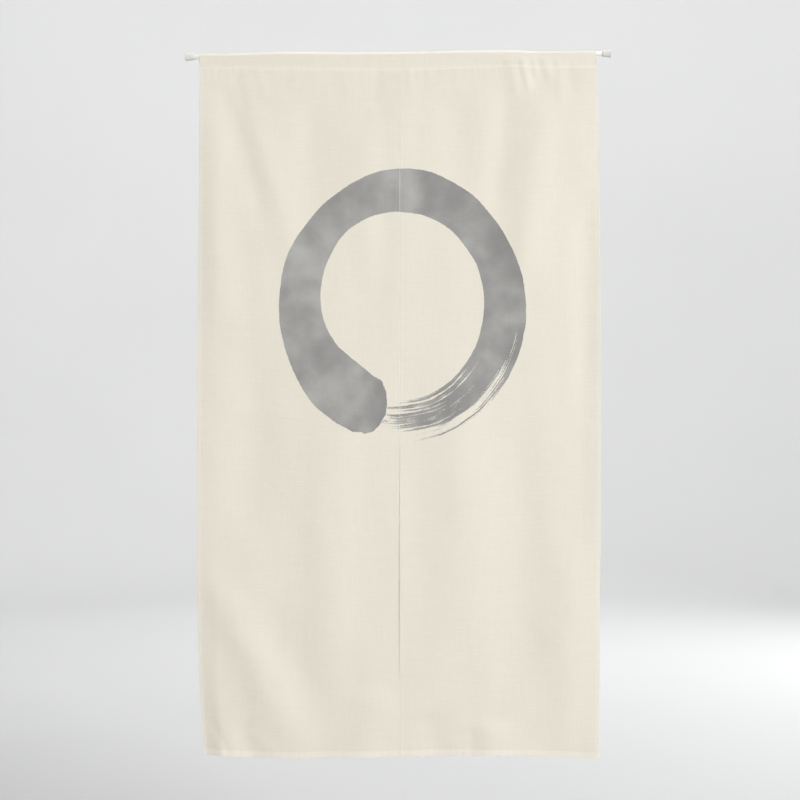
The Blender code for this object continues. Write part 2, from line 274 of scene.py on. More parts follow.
    # creases too small for the solids: the first five are the crumple that crosses the stitch row
    creases: tuple[Fold, ...] = (
        Fold(x0=0.238, z0=0.010, x1=0.258, z1=-0.096, width=0.0160, height=0.0032),
        Fold(x0=0.260, z0=0.014, x1=0.282, z1=-0.086, width=0.0095, height=0.0046),
        Fold(x0=0.282, z0=0.014, x1=0.298, z1=-0.058, width=0.0075, height=0.0020),
        Fold(x0=0.304, z0=0.014, x1=0.328, z1=-0.064, width=0.0100, height=0.0028),
        Fold(x0=0.338, z0=0.010, x1=0.350, z1=-0.120, width=0.0110, height=0.0016),
        Fold(x0=0.362, z0=-0.018, x1=0.372, z1=-0.090, width=0.009, height=-0.0010),
        Fold(x0=-0.352, z0=-0.014, x1=-0.322, z1=-0.120, width=0.010, height=-0.0012),
        Fold(x0=-0.300, z0=-0.016, x1=-0.276, z1=-0.100, width=0.009, height=0.0010),
        Fold(x0=-0.235, z0=-0.016, x1=-0.240, z1=-0.090, width=0.010, height=-0.0009),
        Fold(x0=0.018, z0=-0.016, x1=0.040, z1=-0.110, width=0.012, height=0.0011),
        Fold(x0=-0.040, z0=-0.016, x1=-0.048, z1=-0.120, width=0.012, height=-0.0010),
        Fold(x0=-0.120, z0=-0.018, x1=-0.104, z1=-0.096, width=0.010, height=0.0008),
        Fold(x0=-0.404, z0=-1.408, x1=-0.352, z1=-1.500, width=0.010, height=-0.0018),
        Fold(x0=-0.330, z0=-1.430, x1=-0.236, z1=-1.500, width=0.014, height=0.0016),
        Fold(x0=0.150, z0=-1.420, x1=0.168, z1=-1.500, width=0.014, height=-0.0012),
        Fold(x0=0.232, z0=-0.420, x1=0.405, z1=-0.352, width=0.022, height=0.0008),
        Fold(x0=-0.410, z0=-0.720, x1=-0.190, z1=-0.800, width=0.030, height=0.0009),
        Fold(x0=-0.380, z0=-1.210, x1=-0.230, z1=-1.330, width=0.020, height=0.0010),
    )

    def tube_inside(self, x: Array) -> Array:
        """The radius of the tube that the pocket sits on, along the rod."""
        settled = soft((x - self.thin_from) / (self.thin_by - self.thin_from))
        return self.thick_tube + (self.thin_tube - self.thick_tube) * settled

    def edges(self, width: Width, z: Array) -> tuple[Array, Array]:
        """The x of a panel's outer side and of its edge at the slit, at each height.

        Args:
            width: The panel.
            z: The heights.

        Returns:
            The outer side's x and the slit edge's x.
        """
        opening = soft((self.slit_head - z) / self.slit_opens_over)
        half_gap = (self.seam_gap + (self.slit_gap - self.seam_gap) * opening) / 2
        outer = read(self.sides, "z", width.value, z)
        toward_outer = -1.0 if width is Width.LEFT else 1.0
        return outer, self.slit_x + toward_outer * half_gap

    def fold_sum(self, folds: tuple[Fold, ...], x: Array, z: Array) -> Array:
        """How far forward a table of folds lifts the cloth at each point.

        Args:
            folds: The table.
            x: Across the curtain.
            z: Down the curtain.

        Returns:
            The distance towards the viewer.
        """
        total = np.zeros(np.broadcast(x, z).shape)
        for fold in folds:
            dx, dz = fold.x1 - fold.x0, fold.z1 - fold.z0
            length = math.hypot(dx, dz)
            t = ((x - fold.x0) * dx + (z - fold.z0) * dz) / length**2
            off = ((x - fold.x0) * dz - (z - fold.z0) * dx) / length
            ends = soft(t / self.fold_fade) * soft((1.0 - t) / self.fold_fade)
            total += fold.height * np.exp(-((off / fold.width) ** 2)) * ends
        return total

    def forward(self, width: Width, x: Array, z: Array, stitch: Array) -> Array:
        """How far forward the hanging cloth lies at each point below the pocket.

        Args:
            width: The panel.
            x: Across the curtain.
            z: Down the curtain.
            stitch: The depth of the pocket's stitch row in each point's column.

        Returns:
            The distance towards the viewer.
        """
        outer, inner = self.edges(width, z)
        lift = self.fold_sum(self.folds, x, z)
        for edge, name in ((outer, width.value), (inner, f"slit_{width.value}")):
            turn = read(self.curls, "z", name, z)
            lift += turn * soft(1.0 - np.abs(x - edge) / self.curl_reach)
        return lift * soft((-stitch - z) / self.held_depth)


class Wave(NamedTuple):
    """A slow wave along a row of stitches: its strength, its pace, and how far drift moves it."""

    strength: float
    pace: float
    drift: float

    def at(self, place: Array, drift: float) -> Array:
        """The wave's height at each place."""
        return self.strength * np.sin(place * self.pace + self.drift * drift)


@dataclass(frozen=True)
class Puckers:
    """The small unevenness of sewn cloth: ripples along its rows of stitches and low waves over it.

    Each kind of row has a drift of its own, so that the side, foot and pocket rows ripple unlike.
    """

    hem_length: float = 0.017
    hem_height: float = 0.00045
    hem_reach: float = 0.012
    side_drift: float = 1.3
    foot_drift: float = 4.1
    pocket_length: float = 0.021
    pocket_height: float = 0.00055
    pocket_reach: float = 0.014
    pocket_start: float = 0.0042
    pocket_drift: float = 2.2
    tuck_height: float = 0.00018
    tuck_start: float = 0.005
    tuck_drift: float = 5.2
    waver_length: float = 0.041
    waver_height: float = 0.00015
    waver_drift: float = 0.7
    wander: tuple[Wave, ...] = (Wave(0.55, 21.0, 1.0), Wave(0.35, 47.0, 2.0))
    swell: Wave = Wave(0.40, 13.0, 3.0)
    waves: int = 16
    wave_height: float = 0.00090
    shortest: float = 0.050
    longest: float = 0.190
    lean: float = 0.45
    slant: float = 0.5
    seed: int = 11

    def along(self, at: Array, length: float, drift: float) -> Array:
        """Ripples of uneven length and strength along a row of stitches.

        Args:
            at: The places along the row.
            length: About how long one ripple is.
            drift: What sets this row's ripples apart from another's.

        Returns:
            Their height, from -1 to 1.
        """
        wander = sum(wave.at(at, drift) for wave in self.wander)
        strength = 1.0 - self.swell.strength + self.swell.at(at, drift)
        return strength * np.sin(2.0 * np.pi * (at / length + wander))

    def low_waves(self, x: Array, z: Array) -> Array:
        """Low waves in all directions, longer down the cloth than across it.

        Args:
            x: Across the curtain.
            z: Down the curtain.

        Returns:
            The distance towards the viewer.
        """
        pick = np.random.default_rng(self.seed)
        total = np.zeros(np.broadcast(x, z).shape)
        for _ in range(self.waves):
            length = pick.uniform(self.shortest, self.longest)
            lean = pick.normal(0.0, self.lean)
            phase = pick.uniform(0.0, 2.0 * np.pi)
            along = x * math.cos(lean) + z * math.sin(lean) * self.slant
            total += np.sin(2.0 * np.pi * along / length + phase) * length / self.longest
        return total * self.wave_height / math.sqrt(self.waves)

    def waver(self, x: Array) -> Array:
        """How much further than its gap the pocket stands off the tube, along the rod."""
        return (self.along(x, self.waver_length, self.waver_drift) + 1.0) * self.waver_height

    def tucks(self, x: Array, above: Array) -> Array:
        """How far forward small tucks lift the pocket's front, at distances above its row."""
        lift = self.along(x, self.pocket_length, self.tuck_drift) * self.tuck_height
        return lift * soft(above / self.tuck_start)

    def relief(
        self, x: Array, z: Array, from_side: Array, from_bottom: Array, from_stitch: Array
    ) -> Array:
        """How far forward the puckers lift the cloth at each point.

        Args:
            x: Across the curtain.
            z: Down the curtain.
            from_side: The distance to the panel's nearer side edge.
            from_bottom: The distance to its bottom edge.
            from_stitch: The distance below the pocket's stitch row.

        Returns:
            The distance towards the viewer.
        """
        side = self.along(z, self.hem_length, self.side_drift)
        foot = self.along(x, self.hem_length, self.foot_drift)
        head = self.along(x, self.pocket_length, self.pocket_drift)
        side = side * np.exp(-from_side / self.hem_reach)
        foot = foot * np.exp(-from_bottom / self.hem_reach)
        hems = (side + foot) * self.hem_height
        fade = np.exp(-from_stitch / self.pocket_reach) * soft(from_stitch / self.pocket_start)
        settle = soft(from_stitch / self.pocket_reach)
        return (hems + self.low_waves(x, z)) * settle + head * fade * self.pocket_height


class Noise(NamedTuple):
    """Soft noise: how many lumps there are to a unit, how many finer layers, and its share."""

    scale: float
    detail: float
    share: float = 1.0


class Streak(NamedTuple):
    """Noise drawn out along a surface: its lumps to a unit each way, layer, detail and share."""

    across: float
    down: float
    layer: float = 0.0
    detail: float = 1.0
    share: float = 1.0


class Step(NamedTuple):
    """A soft step from 0 at low to its share at high."""

    low: float
    high: float
    share: float = 1.0


class Signal:
    """A number that varies over a surface, made by nodes and combined with Python's signs."""

    def __init__(self, tree: bpy.types.NodeTree, socket: bpy.types.NodeSocket) -> None:
        """Holds a socket of a material's node tree."""
        self.tree = tree
        self.socket = socket

    def math(self, operation: str, *terms: "Signal | float") -> "Signal":
        """Puts terms through a Math node.

        Args:
            operation: The node's operation.
            terms: What goes into its sockets, in order.

        Returns:
            What comes out.
        """
        node = self.tree.nodes.new("ShaderNodeMath")
        node.operation = operation
        for slot, term in zip(node.inputs, terms):
            if isinstance(term, Signal):
                self.tree.links.new(term.socket, slot)
            else:
                slot.default_value = term
        return Signal(self.tree, node.outputs[0])

    def __add__(self, other: "Signal | float") -> "Signal":
        """This plus another."""
        return self.math("ADD", self, other)

    def __sub__(self, other: "Signal | float") -> "Signal":
        """This less another."""
        return self.math("SUBTRACT", self, other)

    def __rsub__(self, other: float) -> "Signal":
        """A number less this."""
        return self.math("SUBTRACT", other, self)

    def __mul__(self, other: "Signal | float") -> "Signal":
        """This times another."""
        return self.math("MULTIPLY", self, other)

    def __truediv__(self, other: "Signal | float") -> "Signal":
        """This over another."""
        return self.math("DIVIDE", self, other)

    def sine(self) -> "Signal":
        """The sine of this."""
        return self.math("SINE", self)

    def size(self) -> "Signal":
        """This without its sign."""
        return self.math("ABSOLUTE", self)

    def greater(self, other: "Signal | float") -> "Signal":
        """The greater of this and another."""
        return self.math("MAXIMUM", self, other)

    def rise(self, low: float, high: float) -> "Signal":
        """A soft step up.

        Args:
            low: Where it starts.
            high: Where it ends.

        Returns:
            0 below low and 1 above high.
        """
        node = self.tree.nodes.new("ShaderNodeMapRange")
        node.interpolation_type = "SMOOTHSTEP"
        node.inputs["From Min"].default_value = low
        node.inputs["From Max"].default_value = high
        self.tree.links.new(self.socket, node.inputs["Value"])
        return Signal(self.tree, node.outputs["Result"])

    def step(self, step: Step) -> "Signal":
        """How far this has gone up a soft step."""
        return self.rise(step.low, step.high) * step.share

    def follow(self, points: Curve, top: float) -> "Signal":
        """Reads a smooth curve through a few points, at this place from 0 to 1.

        Args:
            points: Places from 0 to 1, and the curve's value at each.
            top: A number no value is above.

        Returns:
            The curve's value.
        """
        node = self.tree.nodes.new("ShaderNodeFloatCurve")
        curve = node.mapping.curves[0]
        while len(curve.points) < len(points):
            curve.points.new(0.5, 0.5)
        for point, (place, value) in zip(curve.points, points):
            point.location = (place, value / top)
        node.mapping.update()
        self.tree.links.new(self.socket, node.inputs["Value"])
        return Signal(self.tree, node.outputs[0]) * top


class Dye:
    """Builds one material's nodes."""

    def __init__(self, name: str) -> None:
        """Starts a material with a bare Principled shader.

        Args:
            name: The material's name.
        """
        self.material = bpy.data.materials.new(name)
        self.material.use_nodes = True
        self.tree = self.material.node_tree
        self.shader = self.tree.nodes["Principled BSDF"]

    def signal(self, socket: bpy.types.NodeSocket) -> Signal:
        """A socket as a signal."""
        return Signal(self.tree, socket)

    def attribute(self, name: str) -> bpy.types.Node:
        """Makes the node that reads one of the piece's own attributes.

        Args:
            name: The attribute's name.

        Returns:
            The node.
        """
        node = self.tree.nodes.new("ShaderNodeAttribute")
        node.attribute_name = name
        return node

    def place(self) -> bpy.types.NodeSocket:
        """The place of a point of the piece, in metres."""
        return self.tree.nodes.new("ShaderNodeTexCoord").outputs["Object"]

    def parts(self, vector: bpy.types.NodeSocket) -> tuple[Signal, Signal, Signal]:
        """Takes a vector apart.

        Args:
            vector: The vector.

        Returns:
            Its three parts.
        """
        node = self.tree.nodes.new("ShaderNodeSeparateXYZ")
        self.tree.links.new(vector, node.inputs[0])
        return tuple(self.signal(socket) for socket in node.outputs)

    def vector(self, *parts: Signal | float) -> bpy.types.NodeSocket:
        """Puts a vector together.

        Args:
            parts: Up to three parts, the others being 0.

        Returns:
            The vector.
        """
        node = self.tree.nodes.new("ShaderNodeCombineXYZ")
        for slot, part in zip(node.inputs, parts):
            if isinstance(part, Signal):
                self.tree.links.new(part.socket, slot)
            else:
                slot.default_value = part
        return node.outputs[0]

    def noise(self, vector: bpy.types.NodeSocket, noise: Noise) -> Signal:
        """Soft noise about 0.5, mostly from 0.25 to 0.75.

        Args:
            vector: Where it is read.
            noise: Its shape.

        Returns:
            The noise, whatever its share.
        """
        node = self.tree.nodes.new("ShaderNodeTexNoise")
        node.inputs["Scale"].default_value = noise.scale
        node.inputs["Detail"].default_value = noise.detail
        self.tree.links.new(vector, node.inputs["Vector"])
        return self.signal(node.outputs[0])

    def uneven(self, vector: bpy.types.NodeSocket, noise: Noise) -> Signal:
        """Soft noise about 0, within its share either way."""
        return (self.noise(vector, noise) - 0.5) * (2.0 * noise.share)

    def streaks(self, across: Signal, down: Signal, streak: Streak) -> Signal:
        """Noise drawn out along a surface, about 0.5.

        Args:
            across: Where it is read across the surface.
            down: Where it is read down the surface.
            streak: Its shape.

        Returns:
            The noise.
        """
        place = self.vector(across * streak.across, down * streak.down, streak.layer)
        return self.noise(place, Noise(1.0, streak.detail))

    def mix(
        self,
        share: Signal,
        first: Colour | bpy.types.NodeSocket,
        second: Colour | bpy.types.NodeSocket,
    ) -> bpy.types.NodeSocket:
        """Blends two colours.

        Args:
            share: How much of the second there is.
            first: The colour underneath.
            second: The colour on top.

        Returns:
            The blended colour.
        """
        node = self.tree.nodes.new("ShaderNodeMix")
        node.data_type = "RGBA"
        self.tree.links.new(share.socket, node.inputs[MIX_SHARE])
        for slot, colour in ((MIX_FIRST, first), (MIX_SECOND, second)):
            if isinstance(colour, tuple):
                node.inputs[slot].default_value = (*colour, 1.0)
            else:
                self.tree.links.new(colour, node.inputs[slot])
        return node.outputs[MIX_RESULT]

    def bump(self, height: Signal, distance: float, strength: float) -> None:
        """Gives the shader a relief, on top of one that it already has.

        Args:
            height: The relief from 0 to 1.
            distance: What 1 stands for, in metres.
            strength: How strongly it shows.
        """
        node = self.tree.nodes.new("ShaderNodeBump")
        node.inputs["Distance"].default_value = distance
        node.inputs["Strength"].default_value = strength
        normal = self.shader.inputs["Normal"]
        if normal.is_linked:
            self.tree.links.new(normal.links[0].from_socket, node.inputs["Normal"])
        self.tree.links.new(height.socket, node.inputs["Height"])
        self.tree.links.new(node.outputs[0], normal)

    def set(self, **values: float) -> None:
        """Sets plain numbers on the shader's own sockets, named with underscores."""
        for name, value in values.items():
            self.shader.inputs[name.replace("_", " ")].default_value = value

    def colour(self, socket: bpy.types.NodeSocket) -> None:
        """Links the shader's colour."""
        self.tree.links.new(socket, self.shader.inputs["Base Color"])

    def roughness(self, value: Signal) -> None:
        """Links the shader's roughness."""
        self.tree.links.new(value.socket, self.shader.inputs["Roughness"])


@dataclass(frozen=True)
class BrushedRing:
    """One turn of a broad wet brush, printed in greys: its own outline, start and dry end.

    Places along the stroke run from 0 at its start to 1 where it would meet it again. Radii are
    shares of the half sizes, and depths run from 0 at the stroke's inner rim to 1 at its outer.
    """

    middle: tuple[float, float] = (0.0102, -0.5340)
    half_size: tuple[float, float] = (0.2620, 0.2920)
    start_turn: float = 0.062
    outer: Curve = (
        (0.00, 0.985),
        (0.05, 1.010),
        (0.12, 1.000),
        (0.22, 1.010),
        (0.34, 0.985),
        (0.46, 1.005),
        (0.58, 0.985),
        (0.72, 1.005),
        (0.86, 0.995),
        (1.00, 1.010),
    )
    inner: Curve = (
        (0.00, 0.560),
        (0.05, 0.545),
        (0.11, 0.590),
        (0.19, 0.655),
        (0.30, 0.700),
        (0.42, 0.690),
        (0.54, 0.675),
        (0.68, 0.670),
        (0.82, 0.665),
        (1.00, 0.700),
    )
    top_radius: float = 1.2
    edge: float = 0.0030
    wobble: Noise = Noise(2.3, 1.0, 0.018)
    ripple: Noise = Noise(11.0, 3.0, 0.006)
    fray: Noise = Noise(60.0, 2.0, 0.0034)
    # the round head where the brush was set down
    head_at: tuple[float, float] = (0.010, 0.775)
    head_size: tuple[float, float] = (0.215, 0.225)
    head_lumps: Noise = Noise(8.0, 2.0, 0.13)
    head_wobble: float = 5.0
    head_fray: float = 4.0
    head_edge: float = 0.0120
    # the brush's hairs, and where it runs dry: in its second half, at its rims and at its tail
    hairs: Streak = Streak(across=25.0, down=3.6, detail=2.0, share=0.60)
    tufts: Streak = Streak(across=6.0, down=2.2, share=0.40)
    ink_held: float = 0.14
    dry: Step = Step(0.42, 0.92)
    dry_need: float = 0.56
    outer_rim: Step = Step(0.52, 1.00, 0.10)
    inner_rim: Step = Step(0.00, 0.40, 0.05)
    worn_along: Step = Step(0.40, 0.60, 0.12)
    worn_from: Step = Step(0.62, 0.84)
    worn_to: Step = Step(0.90, 1.00)
    worn_roughness: float = 7.0
    tail: Step = Step(0.900, 1.030, 0.30)
    cloth_grain: Streak = Streak(across=520.0, down=520.0, detail=2.0, share=0.34)
    skips: Streak = Streak(across=9.0, down=30.0, layer=5.0, detail=2.0, share=0.34)
    wet_edge: Step = Step(-0.018, 0.022)
    # the wash of grey within the stroke
    dark: Colour = (0.218, 0.218, 0.220)
    light: Colour = (0.402, 0.401, 0.397)
    cloud: Noise = Noise(1.9, 2.0, 0.8)
    laps: Noise = Noise(1.0, 1.0, 0.9)
    laps_round: float = 2.9
    laps_out: float = 1.6
    mottle: Noise = Noise(7.0, 3.0, 0.5)
    washed: Curve = ((0.0, 0.45), (0.2, 0.52), (0.42, 0.46), (0.62, 0.36), (1.0, 0.45))
    wash_level: float = 1.18
    wash: Step = Step(0.00, 0.80)
    # how much ink the cloth takes: less in a strip beside the slit, and little shows on its back
    cover: float = 0.95
    bare_to: Step = Step(0.0016, 0.0026)
    bare_from: Step = Step(0.0000, 0.0004)
    strip_share: float = 0.80
    back_share: float = 0.34

    def point(self, along: float, radius: float) -> tuple[float, float]:
        """Where a place on the stroke lies, in half sizes from the ring's middle."""
        turn = 2.0 * math.pi * (along + self.start_turn)
        return -radius * math.sin(turn), -radius * math.cos(turn)

    def length(self, x: Signal, y: Signal) -> Signal:
        """The length of a flat vector."""
        square = x * x + y * y
        return square.math("SQRT", square)

    def head(self, dye: Dye, across: Signal, up: Signal, wobble: Signal, fray: Signal) -> Signal:
        """Where the round head of the stroke is.

        Args:
            dye: The cloth's material.
            across: Across the ring, in half sizes from its middle.
            up: Up the ring, likewise.
            wobble: How far the stroke's rims wander.
            fray: How far they fray.

        Returns:
            1 in the head and 0 outside it.
        """
        head_x, head_y = self.point(*self.head_at)
        off = self.length((across - head_x) / self.head_size[0], (up - head_y) / self.head_size[1])
        lumps = dye.uneven(dye.vector(across, up), self.head_lumps)
        off = off + wobble * self.head_wobble + lumps + fray * self.head_fray
        return (1.0 - off).rise(0.0, self.head_edge)

    def wet(self, dye: Dye, u: Signal, v: Signal, along: Signal, depth: Signal) -> Signal:
        """Where the hairs of the brush leave ink.

        Args:
            dye: The cloth's material.
            u: Across the flat cloth.
            v: Down the flat cloth.
            along: The place along the stroke.
            depth: The depth within it.

        Returns:
            1 where there is ink and 0 where the brush is dry.
        """
        hairs = dye.streaks(depth, along, self.hairs) * self.hairs.share
        tufts = dye.streaks(depth, along, self.tufts) * self.tufts.share
        dryness = along.step(self.dry)
        rim = depth.step(self.outer_rim) + (self.inner_rim.high - depth).step(self.inner_rim)
        worn = along.step(self.worn_along) * (depth.step(self.worn_from) - depth.step(self.worn_to))
        need = dryness * self.dry_need + dryness * rim + worn + along.step(self.tail)
        grain = (dye.streaks(u, v, self.cloth_grain) - 0.5) * self.cloth_grain.share
        skips = (dye.streaks(depth, along, self.skips) - 0.5) * self.skips.share
        rough = (grain + skips) * dryness.greater(worn * self.worn_roughness)
        return (hairs + tufts + self.ink_held - need + rough).step(self.wet_edge)

    def grey(
        self, dye: Dye, across: Signal, up: Signal, reach: Signal, along: Signal
    ) -> bpy.types.NodeSocket:
        """The colour of the ink, darker and lighter where the wash pooled and lapped.

        Args:
            dye: The cloth's material.
            across: Across the ring, in half sizes from its middle.
            up: Up the ring, likewise.
            reach: The distance from its middle.
            along: The place along the stroke.

        Returns:
            The colour.
        """
        flat = dye.vector(across, up)
        cloud = dye.noise(flat, self.cloud) * self.cloud.share
        mottle = dye.noise(flat, self.mottle) * self.mottle.share
        facing = (across / reach * self.laps_round, up / reach * self.laps_round)
        laps = dye.noise(dye.vector(*facing, reach * self.laps_out), self.laps) * self.laps.share
        washed = along.follow(self.washed, 1.0)
        pale = (cloud + laps + mottle + washed - self.wash_level).step(self.wash)
        return dye.mix(pale, self.dark, self.light)

    def ink(
        self, dye: Dye, u: Signal, v: Signal, slit_x: float
    ) -> tuple[Signal, bpy.types.NodeSocket]:
        """Builds the nodes of the print.

        Args:
            dye: The cloth's material.
            u: Across the flat cloth.
            v: Down the flat cloth.
            slit_x: Where the slit is.

        Returns:
            How much ink there is, and its colour.
        """
        across = (u - self.middle[0]) / self.half_size[0]
        up = (v - self.middle[1]) / self.half_size[1]
        flat = dye.vector(across, up)
        reach = self.length(across, up)
        wobble = dye.uneven(flat, self.wobble) + dye.uneven(flat, self.ripple)
        fray = dye.uneven(flat, self.fray)
        radius = reach + wobble
        turn = across.math("ARCTAN2", across * -1.0, up * -1.0) / (2.0 * math.pi)
        along = turn.math("FRACT", turn - self.start_turn)
        outer = along.follow(self.outer, self.top_radius)
        inner = along.follow(self.inner, self.top_radius)
        within = (outer - radius + fray).rise(0.0, self.edge)
        beyond = (radius - inner + fray).rise(0.0, self.edge)
        depth = (radius - inner) / (outer - inner)
        head = self.head(dye, across, up, wobble, fray)
        stroke = (within * beyond * self.wet(dye, u, v, along, depth)).greater(head)
        bare = (u - slit_x).step(self.bare_to) + (slit_x - u).step(self.bare_from)
        stroke = stroke * (bare * (1.0 - self.strip_share) + self.strip_share)
        return stroke * self.cover, self.grey(dye, across, up, reach, along)


@dataclass(frozen=True)
class ClothFinish:
    """Off-white plain weave of uneven yarns, a little see-through where it lies single."""

    single: Colour = (0.746, 0.716, 0.636)
    double: Colour = (0.800, 0.766, 0.694)
    pale_yarn: Colour = (0.850, 0.820, 0.740)
    # the deeper colour serves both the deeper yarns and the painted shade between the yarns
    deep_yarn: Colour = (0.610, 0.560, 0.462)
    husk: Colour = (0.500, 0.430, 0.310)
    # streaks of paler and deeper yarns, along the weft and along the warp
    yarn_streaks: tuple[Streak, Streak] = (
        Streak(across=40.0, down=1500.0, layer=0.0, share=0.55),
        Streak(across=1500.0, down=28.0, layer=7.0, share=0.45),
    )
    band_streaks: tuple[Streak, Streak] = (
        Streak(across=11.0, down=330.0, layer=3.0, share=0.55),
        Streak(across=330.0, down=7.7, layer=10.0, share=0.45),
    )
    weft_slubs: Streak = Streak(across=26.0, down=520.0, layer=30.0)
    weft_slub: Step = Step(0.57, 0.84)
    warp_slubs: Streak = Streak(across=520.0, down=21.0, layer=40.0)
    warp_slub: Step = Step(0.60, 0.86)
    husks: Streak = Streak(across=330.0, down=700.0, layer=21.0)
    husk_fleck: Step = Step(0.765, 0.800, 0.32)
    clouds: Noise = Noise(4.0, 3.0)
    # what makes a place paler, and what makes it deeper, with painted shade in the gaps between the
    # yarns
    pale_yarns: Step = Step(0.50, 0.72, 0.26)
    pale_bands: Step = Step(0.50, 0.70, 0.13)
    pale_slubs: float = 0.34
    deep_yarns: Step = Step(0.00, 0.22, 0.17)
    deep_bands: Step = Step(0.00, 0.20, 0.09)
    deep_clouds: Step = Step(0.50, 0.75, 0.06)
    gap_shade: float = 0.34
    # the weave: its yarns, how far they drift from straight and where they cross
    yarn: float = 0.00062
    drift: Streak = Streak(across=60.0, down=60.0)
    drift_size: float = 0.0009
    crossing: Step = Step(-0.25, 0.25)
    weave_share: float = 0.7
    weave_depth: float = 0.00016
    slub_depth: float = 0.00022
    relief: float = 0.75
    # the ink lies thinner on thick and pale yarns, and is a little smoother than they are
    thin_ink: float = 0.05
    roughness: float = 0.86
    yarn_roughness: float = 0.16
    ink_smoothness: float = 0.05
    ring: BrushedRing = BrushedRing()
    slit_x: float = Hang.slit_x

    def both_ways(self, dye: Dye, u: Signal, v: Signal, streaks: tuple[Streak, Streak]) -> Signal:
        """Soft streaks along both directions of the yarns.

        Args:
            dye: The cloth's material.
            u: Across the flat cloth.
            v: Down the flat cloth.
            streaks: The weft's and the warp's.

        Returns:
            The streaks, about 0.5.
        """
        weft, warp = streaks
        return dye.streaks(u, v, weft) * weft.share + dye.streaks(u, v, warp) * warp.share

    def slubs(self, dye: Dye, u: Signal, v: Signal) -> Signal:
        """The thick places of the yarns, each a few centimetres long."""
        weft = dye.streaks(u, v, self.weft_slubs).step(self.weft_slub)
        return weft.greater(dye.streaks(u, v, self.warp_slubs).step(self.warp_slub))

    def weave(self, dye: Dye, u: Signal, v: Signal) -> Signal:
        """The relief of yarns that pass over and under each other.

        Args:
            dye: The cloth's material.
            u: Across the flat cloth.
            v: Down the flat cloth.

        Returns:
            The relief from 0 between the yarns to 1 on top of them.
        """
        drift = (dye.streaks(u, v, self.drift) - 0.5) * self.drift_size
        warp = ((u + drift) * (math.pi / self.yarn)).sine()
        weft = ((v - drift) * (math.pi / self.yarn)).sine()
        over = (warp * weft).step(self.crossing)
        return over * weft.size() + (1.0 - over) * warp.size()

    def material(self) -> bpy.types.Material:
        """Builds the cloth's material, which reads the flat places stored on each sheet.

        Returns:
            The material.
        """
        dye = Dye("printed_plain_weave")
        u, v, behind = dye.parts(dye.attribute("flat_place").outputs["Vector"])
        layers = dye.signal(dye.attribute("layers").outputs["Fac"])
        yarns = self.both_ways(dye, u, v, self.yarn_streaks)
        bands = self.both_ways(dye, u, v, self.band_streaks)
        slub = self.slubs(dye, u, v)
        weave = self.weave(dye, u, v)
        cloud = dye.noise(dye.vector(u, v), self.clouds)

        cloth = dye.mix(layers, self.single, self.double)
        pale = yarns.step(self.pale_yarns) + bands.step(self.pale_bands) + slub * self.pale_slubs
        deep = (0.5 - yarns).step(self.deep_yarns) + (0.5 - bands).step(self.deep_bands)
        # painted shade darkens the gaps between the yarns of the weave
        deep = deep + cloud.step(self.deep_clouds) + (1.0 - weave) * self.gap_shade
        cloth = dye.mix(pale, cloth, self.pale_yarn)
        cloth = dye.mix(deep, cloth, self.deep_yarn)
        cloth = dye.mix(dye.streaks(u, v, self.husks).step(self.husk_fleck), cloth, self.husk)

        amount, ink = self.ring.ink(dye, u, v, self.slit_x)
        shows = 1.0 - behind * (1.0 - self.ring.back_share)
        inked = amount * shows * (1.0 - slub * self.thin_ink - pale * self.thin_ink)
        dye.colour(dye.mix(inked, cloth, ink))
        rough = (yarns - 0.5) * self.yarn_roughness + self.roughness
        dye.roughness(rough - inked * self.ink_smoothness)
        dye.bump(slub, distance=self.slub_depth, strength=self.relief)
        threads = weave * self.weave_share + yarns * (1.0 - self.weave_share)
        dye.bump(threads, distance=self.weave_depth, strength=self.relief)
        dye.set(Sheen_Weight=0.16, Sheen_Roughness=0.55, Specular_IOR_Level=0.22)
        return dye.material


@dataclass(frozen=True)
class ThreadFinish:
    """Spun thread, a shade lighter than the cloth and printed over with the ring in front."""

    light: Colour = (0.86, 0.83, 0.75)
    shade: Colour = (0.73, 0.69, 0.61)
    # only the thread on the front is printed, a little paler than the cloth
    printed: float = 0.85
    front: Step = Step(-0.0005, 0.0)
    twists: float = 9000.0
    twist_slant: float = 0.5
    twist_depth: float = 0.00005
    fuzz: Noise = Noise(900.0, 2.0, 0.20)
    roughness: float = 0.55
    ring: BrushedRing = BrushedRing()
    slit_x: float = Hang.slit_x

    def material(self) -> bpy.types.Material:
        """Builds the thread's material.

        Returns:
            The material.
        """
        dye = Dye("spun_thread")
        place = dye.place()
        x, y, z = dye.parts(place)
        twist = ((x + z + y * self.twist_slant) * self.twists).sine() * 0.5 + 0.5
        fuzz = dye.noise(place, self.fuzz)
        # the twist's ridges are painted lighter and the grooves between them painted shade, mixed
        # with random fuzz
        spun = dye.mix((twist + fuzz) * 0.5, self.shade, self.light)
        amount, ink = self.ring.ink(dye, x, z, self.slit_x)
        before = (y * -1.0).step(self.front)
        dye.colour(dye.mix(amount * before * self.printed, spun, ink))
        dye.roughness(fuzz * self.fuzz.share + self.roughness)
        dye.bump(twist, distance=self.twist_depth, strength=0.5)
        dye.set(Sheen_Weight=0.2, Specular_IOR_Level=0.35)
        return dye.material


